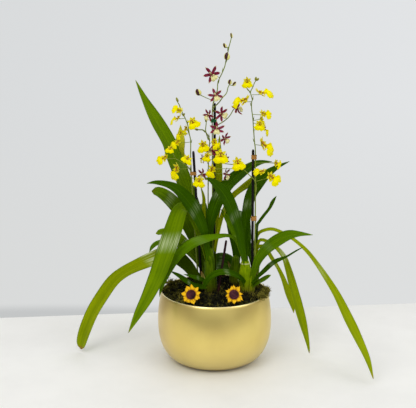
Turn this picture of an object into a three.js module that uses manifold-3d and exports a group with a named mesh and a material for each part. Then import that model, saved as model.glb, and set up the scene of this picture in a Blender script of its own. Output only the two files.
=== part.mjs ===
// An oncidium orchid planting in a round metal bowl, in millimetres with +Z up.
// The origin is the middle of the bowl's flat base, and -Y is the front.
// The bowl holds bark mix under a mound of moss. Five leafy shoots stand in it, with
// strap leaves, three staked flower sprays and two small sunflower picks.

import * as THREE from "three";
import { mergeVertices } from "three/addons/utils/BufferGeometryUtils.js";
import Module from "manifold-3d";

// Driving dimensions.
const BOWL = {
  height: 113,
  belly: 90,
  bellyHeight: 66,
  rim: 84,
  base: 46,
  floor: 5,
  wall: 2.2,
  roundness: 2.35,
};
const BOWL_SIDES = 34;
const MIX_TOP = 97.6;
const MOSS = { bottom: 98, edge: 109.5, crown: 116, gap: 0.5, bump: 1.3, rings: 4, sides: 22 };
const STAKE_RADIUS = 2;
const STAKE_FOOT = 18;
const STEM_RADIUS = 1;
const STEM_STEP = 21;
const PEDICEL_RADIUS = 0.65;
const CLEARANCE = 0.3;
const LEAF = { thickness: 1.1, step: 27, tip: 1.6, baseFold: 0.6, tipFold: 0.2 };
const PETAL_THICKNESS = 0.9;
const YELLOW = { tepals: [0, 55, 107], length: 8.5, width: 3.8, lip: { length: 14, width: 25, lean: 6 } };
const MAROON = { tepals: [0, 66, 120], length: 10, width: 3.9, lip: { length: 8.5, width: 10, lean: 3 } };
const TEPAL = { waist: 0.6, droop: 0.7, lift: 0.6, claw: 2 };
const COLUMN = 2.4;
const TIE_SLACK = 0.55;
const SUNFLOWER = {
  radius: 15.5,
  disc: 7.4,
  petals: 12,
  thickness: 1.4,
  wire: 0.9,
  wireFoot: 99,
  wireLean: 5,
  tilt: 32,
};

const wasm = await Module();
wasm.setup();

const vec = ([x, y, z]) => new THREE.Vector3(x, y, z);
const mix = THREE.MathUtils.lerp;
const radians = THREE.MathUtils.degToRad;

// ---- Solids: closed geometries made into manifolds, joined and cut.

function solid(geometry) {
  const bare = geometry.clone();
  bare.deleteAttribute("normal");
  bare.deleteAttribute("uv");
  const merged = mergeVertices(bare, 1e-3);
  return new wasm.Manifold(
    new wasm.Mesh({
      numProp: 3,
      vertProperties: Float32Array.from(merged.attributes.position.array),
      triVerts: Uint32Array.from(merged.index.array),
    }),
  );
}

function joined(solids) {
  return wasm.Manifold.union(solids);
}

function without(body, cutters) {
  return cutters.length ? body.subtract(joined(cutters)) : body;
}

// The biggest piece of a solid that a cut has left in several.
function largest(body) {
  return body.decompose().reduce((best, piece) => (piece.volume() > best.volume() ? piece : best));
}

function geometryOf(body) {
  const { vertProperties, triVerts } = body.getMesh();
  const geometry = new THREE.BufferGeometry();
  geometry.setAttribute("position", new THREE.BufferAttribute(vertProperties, 3));
  geometry.setIndex(new THREE.BufferAttribute(triVerts, 1));
  geometry.computeVertexNormals();
  return geometry;
}

function geometryFrom(points, triangles) {
  const geometry = new THREE.BufferGeometry().setFromPoints(points);
  geometry.setIndex(triangles.flat());
  return geometry;
}

// ---- Shapes that the pieces are made of.

// A thin sheet: rows of points, thickened to both sides, with both faces split alike.
function sheet(rows, thickness) {
  const last = rows.length - 1;
  const edge = rows[0].length - 1;
  const count = rows.length * rows[0].length;
  const normalAt = (i, j) => {
    const along = rows[Math.min(i + 1, last)][j].clone().sub(rows[Math.max(i - 1, 0)][j]);
    const across = rows[i][Math.min(j + 1, edge)].clone().sub(rows[i][Math.max(j - 1, 0)]);
    return along.cross(across).normalize().multiplyScalar(thickness / 2);
  };
  const upper = rows.flatMap((row, i) => row.map((point, j) => point.clone().add(normalAt(i, j))));
  const lower = rows.flatMap((row, i) => row.map((point, j) => point.clone().sub(normalAt(i, j))));
  const top = (i, j) => i * (edge + 1) + j;
  const under = (i, j) => count + top(i, j);
  const triangles = [];
  for (let i = 0; i < last; i++) {
    for (let j = 0; j < edge; j++) {
      triangles.push([top(i, j), top(i + 1, j), top(i + 1, j + 1)]);
      triangles.push([top(i, j), top(i + 1, j + 1), top(i, j + 1)]);
      triangles.push([under(i, j), under(i + 1, j + 1), under(i + 1, j)]);
      triangles.push([under(i, j), under(i, j + 1), under(i + 1, j + 1)]);
    }
    triangles.push([top(i, 0), under(i, 0), under(i + 1, 0)]);
    triangles.push([top(i, 0), under(i + 1, 0), top(i + 1, 0)]);
    triangles.push([top(i, edge), top(i + 1, edge), under(i + 1, edge)]);
    triangles.push([top(i, edge), under(i + 1, edge), under(i, edge)]);
  }
  for (let j = 0; j < edge; j++) {
    triangles.push([top(0, j), top(0, j + 1), under(0, j + 1)]);
    triangles.push([top(0, j), under(0, j + 1), under(0, j)]);
    triangles.push([top(last, j), under(last, j), under(last, j + 1)]);
    triangles.push([top(last, j), under(last, j + 1), top(last, j + 1)]);
  }
  return solid(geometryFrom([...upper, ...lower], triangles));
}

// A cut-out sheet: an outline of [x, y, rise] in the plane of a frame, split alike on both
// faces, where each point may stand out of the plane.
function cutSheet(outline, frame, thickness) {
  const flat = outline.map(([x, y]) => new THREE.Vector2(x, y));
  const faces = THREE.ShapeUtils.triangulateShape(flat, []);
  const count = outline.length;
  const at = (side) => outline.map(([x, y, rise]) => {
    return new THREE.Vector3(x, y, rise + (side * thickness) / 2).applyMatrix4(frame);
  });
  const triangles = faces.flatMap(([a, b, c]) => [[a, b, c], [count + a, count + c, count + b]]);
  for (let k = 0; k < count; k++) {
    const next = (k + 1) % count;
    triangles.push([k, count + k, count + next], [k, count + next, next]);
  }
  return solid(geometryFrom([...at(1), ...at(-1)], triangles));
}

// A body through stacked rings of points, closed by a fan at each end.
function loft(rings) {
  const sides = rings[0].length;
  const centre = (ring) => ring.reduce((sum, p) => sum.add(p), new THREE.Vector3()).divideScalar(sides);
  const points = [...rings.flat(), centre(rings[0]), centre(rings.at(-1))];
  const foot = points.length - 2;
  const head = points.length - 1;
  const crown = (rings.length - 1) * sides;
  const triangles = [];
  for (let k = 0; k < sides; k++) {
    const next = (k + 1) % sides;
    triangles.push([foot, next, k], [head, crown + k, crown + next]);
    for (let i = 0; i < rings.length - 1; i++) {
      const low = i * sides;
      const high = low + sides;
      triangles.push([low + k, low + next, high + next], [low + k, high + next, high + k]);
    }
  }
  return solid(geometryFrom(points, triangles));
}

function smoothCurve(points) {
  return new THREE.CatmullRomCurve3(points, false, "catmullrom", 0.5);
}

function tube(curve, radius, sides, steps) {
  const corners = new THREE.CircleGeometry(radius, sides).attributes.position;
  const corner = (k) => new THREE.Vector2(corners.getX(k + 1), corners.getY(k + 1));
  const section = new THREE.Shape(Array.from({ length: sides }, (_, k) => corner(k)));
  return solid(new THREE.ExtrudeGeometry(section, { steps, extrudePath: curve, curveSegments: 1 }));
}

// The turn that takes one of the main directions to an axis.
function turnTo(axis, from = new THREE.Vector3(0, 1, 0)) {
  return new THREE.Quaternion().setFromUnitVectors(from, axis.clone().normalize());
}

function rod(from, to, radius, sides) {
  const axis = to.clone().sub(from);
  const geometry = new THREE.CylinderGeometry(radius, radius, axis.length(), sides);
  geometry.applyQuaternion(turnTo(axis));
  geometry.translate(...from.clone().add(to).divideScalar(2));
  return solid(geometry);
}

// A small faceted egg, longest along its axis.
function egg(centre, axis, width, length) {
  const geometry = new THREE.SphereGeometry(0.5, 5, 3);
  geometry.scale(width, length, width);
  geometry.applyQuaternion(turnTo(axis));
  geometry.translate(...centre);
  return solid(geometry);
}

// ---- The bowl, its bark mix and its moss.

// The bowl's outer radius at a height: a rounded belly below, drawn in to the rim above.
function bowlRadius(z) {
  const { belly, bellyHeight, base, rim, height, roundness } = BOWL;
  if (z > bellyHeight) {
    return belly - (belly - rim) * ((z - bellyHeight) / (height - bellyHeight)) ** 2;
  }
  return base + (belly - base) * (1 - (1 - z / bellyHeight) ** roundness) ** (1 / roundness);
}

function turned(profile) {
  const geometry = new THREE.LatheGeometry(profile.map(([r, z]) => new THREE.Vector2(r, z)), BOWL_SIDES);
  return solid(geometry.rotateX(Math.PI / 2));
}

// The heights where the bowl's profile is cut into flats; the lowest ones inside are
// raised by the floor's thickness.
const BOWL_LEVELS = [0, 1.5, 6, 14, 28, 46, 66, 84, 100];
const BOWL_CURL = 30;

// The bowl's inner levels, drawn in from its outer face by a gap.
function insideLevels(levels, gap) {
  return levels.map((z) => [bowlRadius(z) - gap, z + (z < BOWL_CURL ? Math.min(gap, z) : 0)]);
}

function bowl(grow = 0) {
  const { height, wall } = BOWL;
  const lip = wall / 2;
  const outer = BOWL_LEVELS.map((z) => [bowlRadius(z) + grow, z]);
  const inner = insideLevels(BOWL_LEVELS.slice(2), wall + grow);
  const rim = bowlRadius(height);
  const edge = [
    [rim + grow, height - lip],
    [rim - wall / 3 + grow, height + grow],
    [rim - (2 * wall) / 3 - grow, height + grow],
    [rim - wall - grow, height - lip],
  ];
  return turned([[0, 0], ...outer, ...edge, ...inner.reverse(), [0, BOWL.floor + wall]]);
}

function barkMix() {
  const { wall } = BOWL;
  const gap = wall + 2 * CLEARANCE;
  const side = insideLevels(BOWL_LEVELS.slice(2, -1), gap);
  return turned([[0, BOWL.floor + gap], ...side, [bowlRadius(MIX_TOP) - gap, MIX_TOP], [0, MIX_TOP]]);
}

// The moss mound's height at a radius and an angle: a low dome with tufts.
function mossHeight(radius, angle) {
  const reach = radius / BOWL.rim;
  const tufts = Math.sin(5 * angle + 0.13 * radius) + Math.sin(9 * angle - 0.21 * radius + 1.7);
  return mix(MOSS.crown, MOSS.edge, reach ** 1.6) + MOSS.bump * tufts * Math.min(1, 0.3 + reach);
}

function mossMound() {
  const { rings, sides } = MOSS;
  const rim = bowlRadius(BOWL.height) - BOWL.wall - MOSS.gap;
  const ring = (radius, height) =>
    Array.from({ length: sides }, (_, k) => {
      const angle = (2 * Math.PI * k) / sides;
      return new THREE.Vector3(radius * Math.cos(angle), radius * Math.sin(angle), height(radius, angle));
    });
  const outward = ring(rim, () => MOSS.bottom);
  const rows = [outward];
  for (let i = rings; i > 0; i--) {
    rows.push(ring((rim * i) / rings, mossHeight));
  }
  return loft(rows);
}

// Tufts that hang over the bowl's edge: [angle in degrees, size].
const MOSS_SPILLS = [[-16, 15], [112, 12]];

function mossSpill([angle, size]) {
  const tuft = new THREE.SphereGeometry(1, 7, 4);
  tuft.scale(size * 0.8, size, size * 0.42);
  tuft.translate(BOWL.rim - size * 0.25, 0, BOWL.height + 0.6);
  return solid(tuft.rotateZ(radians(angle)));
}

// ---- Shoots: pseudobulbs and leaf sheaths, as rings of [x, y, z, width, depth].

const SHOOTS = {
  shoot_left: [
    [-7, -5, 84, 12, 14],
    [-7, -5, 104, 17, 21],
    [-7, -5, 130, 18, 24],
    [-7, -4, 160, 16, 24],
    [-8, -3, 186, 12, 19],
  ],
  shoot_right: [
    [54, -3, 84, 11, 8],
    [54, -3, 106, 17, 12],
    [51, -3, 124, 22, 14],
    [49, -3, 142, 22, 13],
    [48, -2, 156, 15, 11],
    [48, -2, 166, 9, 8],
  ],
  shoot_back_left: [
    [-15, 33, 84, 11, 11],
    [-15, 33, 106, 16, 16],
    [-14, 33, 136, 17, 16],
    [-12, 32, 170, 12, 13],
  ],
  shoot_back_mid: [
    [34, 32, 84, 11, 11],
    [34, 32, 106, 17, 15],
    [34, 31, 132, 18, 15],
    [34, 30, 162, 11, 12],
  ],
  shoot_back_right: [
    [64, 23, 84, 8, 8],
    [64, 23, 106, 12, 12],
    [64, 23, 134, 13, 13],
    [64, 22, 164, 9, 10],
  ],
};

// Dry sheaths that stand off a shoot's foot: [x, y, z, width] along each.
const SHEATHS = {
  shoot_left: [
    { path: [[-7, -5, 102, 8], [-15, -14, 126, 9], [-21, -19, 150, 4]], facing: [[0.5, -1, 0.4]] },
  ],
  shoot_right: [
    { path: [[55, -4, 106, 8], [63, -5, 128, 9], [66, -5, 150, 4]], facing: [[-0.4, -1, 0.3]] },
  ],
  shoot_back_mid: [
    { path: [[34, 36, 106, 9], [28, 44, 128, 8], [22, 49, 146, 3]], facing: [[0.3, -0.6, 1]] },
  ],
};

const SHOOT_SIDES = 8;

function shoot(name, grow = 0) {
  const rings = SHOOTS[name].map(([x, y, z, width, depth]) =>
    Array.from({ length: SHOOT_SIDES }, (_, k) => {
      const angle = (2 * Math.PI * k) / SHOOT_SIDES;
      const across = (width / 2 + grow) * Math.cos(angle);
      return new THREE.Vector3(x + across, y + (depth / 2 + grow) * Math.sin(angle), z);
    }),
  );
  rings[0].forEach((point) => (point.z -= grow));
  rings.at(-1).forEach((point) => (point.z += grow));
  const sheaths = (SHEATHS[name] ?? []).map((spec) => blade(spec, grow));
  return joined([loft(rings), ...sheaths]);
}

// ---- Leaves. Each path runs from the base to the tip as [x, y, z, width].
// facing is the way that the upper face looks, at the base and at the tip.

const LEAVES = {
  leaf_01_tall_left: {
    path: [[-13, 31, 152, 9], [-17, 28, 192, 14], [-31, 28, 237, 21], [-44, 31, 269, 26],
      [-53, 34, 292, 28], [-66, 39, 323, 27], [-73, 43, 343, 26], [-92, 49, 376, 23], [-112, 55, 413, 11],
      [-124, 59, 439, 1]],
    facing: [[0.5, -1, 0.2], [0.6, -1, 0.6]],
  },
  leaf_02_pale_left: {
    path: [[-12, 36, 150, 8], [-17, 40, 188, 13], [-31, 46, 229, 18], [-46, 53, 272, 21],
      [-58, 60, 319, 21], [-55, 63, 343, 16], [-54, 66, 367, 1]],
    facing: [[0.2, -1, 0.2], [0.3, -1, 0.3]],
  },
  leaf_03_arching_left: {
    path: [[-9, -12, 160, 9], [-15, -17, 203, 13], [-21, -23, 226, 18], [-30, -31, 249, 22],
      [-42, -37, 268, 24], [-55, -44, 284, 19], [-70, -50, 294, 12], [-88, -56, 299, 7], [-101, -61, 299, 1]],
    facing: [[0.4, -1, 0.3], [0.1, -0.8, 0.8]],
  },
  leaf_04_blunt_left: {
    path: [[-12, 5, 140, 8], [-24, 9, 165, 14], [-33, 11, 194, 18], [-42, 13, 215, 21], [-54, 16, 237, 24],
      [-70, 20, 255, 23], [-86, 24, 266, 18], [-99, 27, 268, 12]],
    facing: [[0.4, -1, 0.1], [0.1, -0.8, 0.7]],
  },
  leaf_05_folded_front: {
    path: [[-8, -8, 149, 9], [-14, -10, 178, 13], [-21, -11, 204, 16], [-28, -12, 227, 19],
      [-37, -12, 243, 22], [-46, -16, 250, 24], [-54, -26, 246, 26], [-63, -33, 219, 30],
      [-76, -40, 182, 31], [-87, -48, 152, 28], [-101, -57, 123, 22], [-116, -65, 97, 15],
      [-132, -72, 68, 1]],
    facing: [[0.5, -1, 0.2], [-0.1, -0.8, 0.9], [-0.6, -1, 0.2]],
  },
  leaf_06_long_left: {
    path: [[-11, -10, 122, 9], [-23, -9, 130, 13], [-34, -7, 142, 18], [-45, -2, 155, 22], [-60, 2, 166, 25],
      [-78, 6, 169, 26], [-98, 10, 161, 25], [-124, 13, 149, 22], [-145, 15, 137, 21], [-162, 17, 122, 22],
      [-179, 19, 98, 23], [-195, 20, 71, 24], [-209, 21, 38, 23], [-216, 21, 16, 20], [-217, 21, 5, 12]],
    facing: [[0.5, -1, 0.5], [0, -0.8, 0.7], [-0.7, -0.9, 0.1]],
  },
  leaf_07_across_front: {
    path: [[50, 0, 149, 6], [41, -1, 176, 7], [33, -4, 196, 6], [21, -11, 205, 6], [4, -19, 206, 9],
      [-15, -27, 204, 14], [-32, -30, 199, 17], [-47, -31, 189, 18], [-60, -31, 176, 18], [-69, -31, 160, 15],
      [-77, -31, 142, 10], [-83, -30, 126, 6], [-86, -30, 112, 1]],
    facing: [[0.2, -1, 0.5], [-0.1, -0.9, 0.8], [-0.6, -1, 0.1]],
  },
  leaf_08_centre: {
    path: [[49, -4, 154, 8], [43, -9, 181, 11], [38, -15, 210, 14], [31, -22, 236, 18], [23, -28, 258, 21],
      [14, -34, 277, 21], [3, -41, 291, 16], [-7, -48, 301, 8], [-16, -54, 306, 1]],
    facing: [[0.3, -1, 0.1], [0.2, -0.9, 0.6]],
  },
  leaf_09_narrow_centre: {
    path: [[46, 4, 150, 5], [42, 7, 176, 8], [34, 9, 196, 9], [26, 11, 213, 9], [18, 14, 229, 8],
      [10, 17, 241, 1]],
    facing: [[0.3, -1, 0.2], [0.2, -1, 0.5]],
  },
  leaf_10_broad_right: {
    path: [[-7, -1, 160, 9], [-8, -1, 196, 14], [-6, -1, 225, 17], [0, 0, 247, 21], [8, 4, 265, 22],
      [21, 12, 282, 21], [35, 22, 293, 20], [49, 32, 301, 16], [64, 42, 308, 12], [77, 50, 310, 7],
      [92, 58, 309, 1]],
    facing: [[-0.4, -1, 0.1], [-0.1, -0.9, 0.7]],
  },
  leaf_11_olive: {
    path: [[-3, 4, 148, 5], [2, 8, 185, 6], [8, 12, 217, 7], [15, 17, 239, 7], [28, 28, 258, 9],
      [40, 37, 267, 10], [57, 47, 277, 13], [70, 55, 285, 13], [78, 60, 289, 8], [86, 64, 293, 1]],
    facing: [[-0.2, -1, 0.2], [-0.1, -0.9, 0.7]],
  },
  leaf_12_back_right: {
    path: [[51, 2, 150, 8], [49, 9, 173, 10], [48, 15, 200, 13], [51, 21, 234, 16], [57, 26, 260, 18],
      [68, 31, 278, 20], [83, 37, 293, 15], [99, 43, 303, 8], [119, 50, 311, 1]],
    facing: [[-0.3, -1, 0.1], [-0.1, -0.9, 0.7]],
  },
  leaf_13_thin_right: {
    path: [[67, 21, 150, 5], [67, 20, 180, 5], [67, 19, 212, 5], [71, 21, 220, 5], [78, 24, 229, 5],
      [87, 27, 240, 5], [92, 29, 250, 6], [98, 32, 259, 1]],
    facing: [[-0.3, -1, 0.1], [-0.3, -1, 0.3]],
  },
  leaf_14_arching_right: {
    path: [[55, -5, 122, 8], [62, -11, 146, 11], [69, -16, 169, 15], [81, -23, 188, 19],
      [96, -30, 202, 21], [112, -37, 212, 18], [128, -43, 216, 10], [148, -50, 217, 1]],
    facing: [[-0.5, -1, 0.2], [0, -0.7, 0.9]],
  },
  leaf_15_dark_right: {
    path: [[55, -6, 120, 5], [66, -16, 138, 6], [77, -24, 152, 8], [86, -32, 164, 9], [95, -40, 173, 8],
      [109, -48, 182, 4], [123, -57, 194, 3], [132, -63, 201, 1]],
    facing: [[-0.4, -1, 0.5], [0, -0.7, 0.9]],
  },
  leaf_16_short_right: {
    path: [[55, -5, 118, 6], [67, -12, 129, 7], [79, -20, 139, 8], [87, -26, 146, 4]],
    facing: [[-0.2, -1, 0.6], [-0.1, -0.9, 0.8]],
  },
  leaf_17_low_front: {
    path: [[49, -5, 118, 6], [44, -12, 133, 8], [33, -22, 145, 9], [17, -30, 152, 10], [4, -34, 152, 10],
      [-8, -35, 145, 9], [-15, -34, 134, 7], [-19, -33, 124, 1]],
    facing: [[0.2, -1, 0.6], [-0.1, -0.9, 0.7]],
  },
  leaf_18_low_left: {
    path: [[-9, -12, 122, 7], [-24, -19, 125, 9], [-36, -23, 130, 9], [-54, -27, 144, 8], [-69, -30, 154, 1]],
    facing: [[0.3, -1, 0.6], [0.1, -0.8, 0.9]],
  },
  leaf_19_low_left_small: {
    path: [[-9, -14, 126, 6], [-20, -20, 137, 7], [-32, -24, 142, 7], [-48, -28, 148, 1]],
    facing: [[0.2, -1, 0.6], [0.1, -0.8, 0.9]],
  },
  leaf_20_behind_left: {
    path: [[-9, 5, 132, 8], [-20, 11, 151, 12], [-36, 16, 169, 13], [-49, 22, 186, 15], [-66, 28, 198, 15],
      [-82, 33, 200, 12], [-94, 37, 196, 8]],
    facing: [[0.5, -1, 0.3], [0.1, -0.8, 0.8]],
  },
  leaf_21_behind_left_low: {
    path: [[-9, 4, 126, 8], [-22, 15, 148, 11], [-34, 24, 162, 12], [-52, 34, 176, 13], [-72, 42, 180, 12],
      [-91, 49, 177, 9], [-101, 53, 169, 7], [-106, 57, 159, 1]],
    facing: [[0.4, -1, 0.4], [0, -0.8, 0.8]],
  },
  leaf_22_upright: {
    path: [[-12, 34, 150, 8], [-4, 37, 185, 10], [2, 39, 226, 13], [6, 42, 258, 14], [6, 45, 282, 14],
      [6, 48, 306, 13], [7, 52, 329, 8], [8, 56, 352, 1]],
    facing: [[-0.2, -1, 0], [0, -1, 0.1]],
  },
  leaf_23_thin_upright: {
    path: [[-9, 3, 156, 6], [-15, 13, 200, 6], [-17, 15, 239, 6], [-17, 15, 260, 5], [-22, 15, 278, 1]],
    facing: [[-0.2, -1, 0.1], [0, -1, 0.2]],
  },
  leaf_24_behind_centre: {
    path: [[35, 31, 134, 9], [35, 35, 169, 15], [28, 38, 210, 18], [23, 41, 242, 14], [15, 44, 266, 8],
      [7, 47, 280, 1]],
    facing: [[0.1, -1, 0], [0.2, -1, 0.3]],
  },
  leaf_25_long_right: {
    path: [[65, 22, 144, 6], [64, 25, 176, 6], [69, 27, 197, 6], [80, 27, 204, 6], [93, 25, 206, 6],
      [108, 21, 201, 6], [125, 15, 192, 6], [144, 6, 177, 7], [159, -6, 160, 8], [175, -22, 138, 11],
      [191, -40, 113, 15], [206, -62, 83, 18], [217, -78, 61, 18], [229, -95, 37, 13], [238, -110, 9, 2]],
    facing: [[-0.2, -1, 0.5], [0.1, -0.8, 0.8], [0.7, -0.7, 0.5]],
  },
  leaf_26_hanging_right: {
    path: [[66, 20, 152, 5], [70, 18, 188, 6], [85, 15, 188, 6], [99, 13, 178, 7], [110, 11, 164, 9],
      [117, 10, 143, 12], [125, 8, 114, 16], [133, 6, 86, 17], [142, 4, 53, 14], [149, 2, 26, 8],
      [153, 1, 6, 2]],
    facing: [[-0.3, -1, 0.4], [0.4, -0.9, 0.4], [0.6, -0.9, 0.1]],
  },
  leaf_27_hanging_inner: {
    path: [[64, 26, 134, 6], [68, 32, 172, 6], [81, 34, 174, 6], [91, 37, 157, 7], [102, 39, 139, 7],
      [111, 40, 120, 9], [120, 40, 95, 12], [127, 39, 75, 9], [130, 38, 61, 1]],
    facing: [[-0.2, -1, 0.3], [0.5, -0.9, 0.4], [0.5, -0.9, 0.1]],
  },
  leaf_28_back_arching: {
    path: [[-16, 37, 140, 9], [-18, 52, 186, 16], [-22, 80, 222, 22], [-27, 114, 226, 24],
      [-32, 148, 200, 21], [-36, 172, 158, 13], [-38, 182, 124, 1]],
    facing: [[0.1, -1, 0.5], [0, 0.2, 1], [0, 1, 0.4]],
  },
  leaf_29_back_middle: {
    path: [[36, 38, 114, 12], [30, 43, 131, 25], [20, 50, 141, 32], [7, 60, 142, 31], [-5, 71, 136, 24],
      [-15, 81, 127, 13], [-20, 88, 122, 1]],
    facing: [[0.3, -1, 0.5], [0, -0.95, 0.7], [-0.3, -0.8, 0.9]],
  },
  leaf_30_back_right: {
    path: [[65, 27, 130, 8], [59, 42, 158, 11], [50, 58, 186, 13], [47, 82, 208, 15], [50, 112, 214, 16],
      [55, 140, 190, 14], [60, 158, 156, 9], [62, 166, 130, 1]],
    facing: [[0, -1, 0.5], [0, 0.2, 1], [0, 1, 0.4]],
  },
};

// A value part of the way along an evenly spaced list of directions.
function facingAt(facing, t) {
  const place = t * (facing.length - 1);
  const index = Math.min(Math.floor(place), Math.max(facing.length - 2, 0));
  const next = facing[Math.min(index + 1, facing.length - 1)];
  return vec(facing[index]).lerp(vec(next), place - index);
}

// A keeled strap: a V in section, folded at the base and flatter at the tip.
function blade({ path, facing }, grow = 0) {
  const spine = smoothCurve(path.map(vec));
  const widths = smoothCurve(path.map(([, , , width]) => new THREE.Vector3(width, 0, 0)));
  const steps = Math.max(3, Math.round(spine.getLength() / LEAF.step));
  const rows = [];
  for (let i = 0; i <= steps; i++) {
    const t = spine.getUtoTmapping(i / steps);
    const centre = spine.getPoint(t);
    const tangent = spine.getTangent(t);
    const normal = facingAt(facing, t);
    normal.addScaledVector(tangent, -normal.dot(tangent)).normalize();
    const side = normal.clone().cross(tangent);
    const half = Math.max(widths.getPoint(t).x, LEAF.tip) / 2 + grow;
    const fold = mix(LEAF.baseFold, LEAF.tipFold, Math.min(1, 3 * t));
    const margin = (hand) =>
      centre
        .clone()
        .addScaledVector(side, hand * half * Math.cos(fold))
        .addScaledVector(normal, half * Math.sin(fold));
    rows.push([margin(-1), centre, margin(1)]);
  }
  return sheet(rows, LEAF.thickness + 2 * grow);
}

// ---- Stakes, as their top and the point where they enter the moss.

const STAKES = {
  stake_left: { top: [-33, 3, 336], moss: [-20, 3, 110] },
  stake_middle: { top: [0, 20, 408], moss: [-1, 20, 110] },
  stake_right: { top: [59, 6, 338], moss: [60, 10, 110] },
};

function stakeAt(name, z) {
  const { top, moss } = STAKES[name];
  return vec(moss).lerp(vec(top), (z - moss[2]) / (top[2] - moss[2]));
}

function stake(name, grow = 0) {
  return rod(stakeAt(name, STAKE_FOOT - grow), stakeAt(name, STAKES[name].top[2]), STAKE_RADIUS + grow, 8);
}

// ---- Sprays. Every stem is a list of points, and the first one stands in the moss.
// A bloom has its throat at a point, turned about the vertical by turn degrees and with
// its lip swung sideways by hang degrees. twist turns it about its lip, and nod brings the
// lip forward; via is a point that its stalk bends round.

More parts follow.
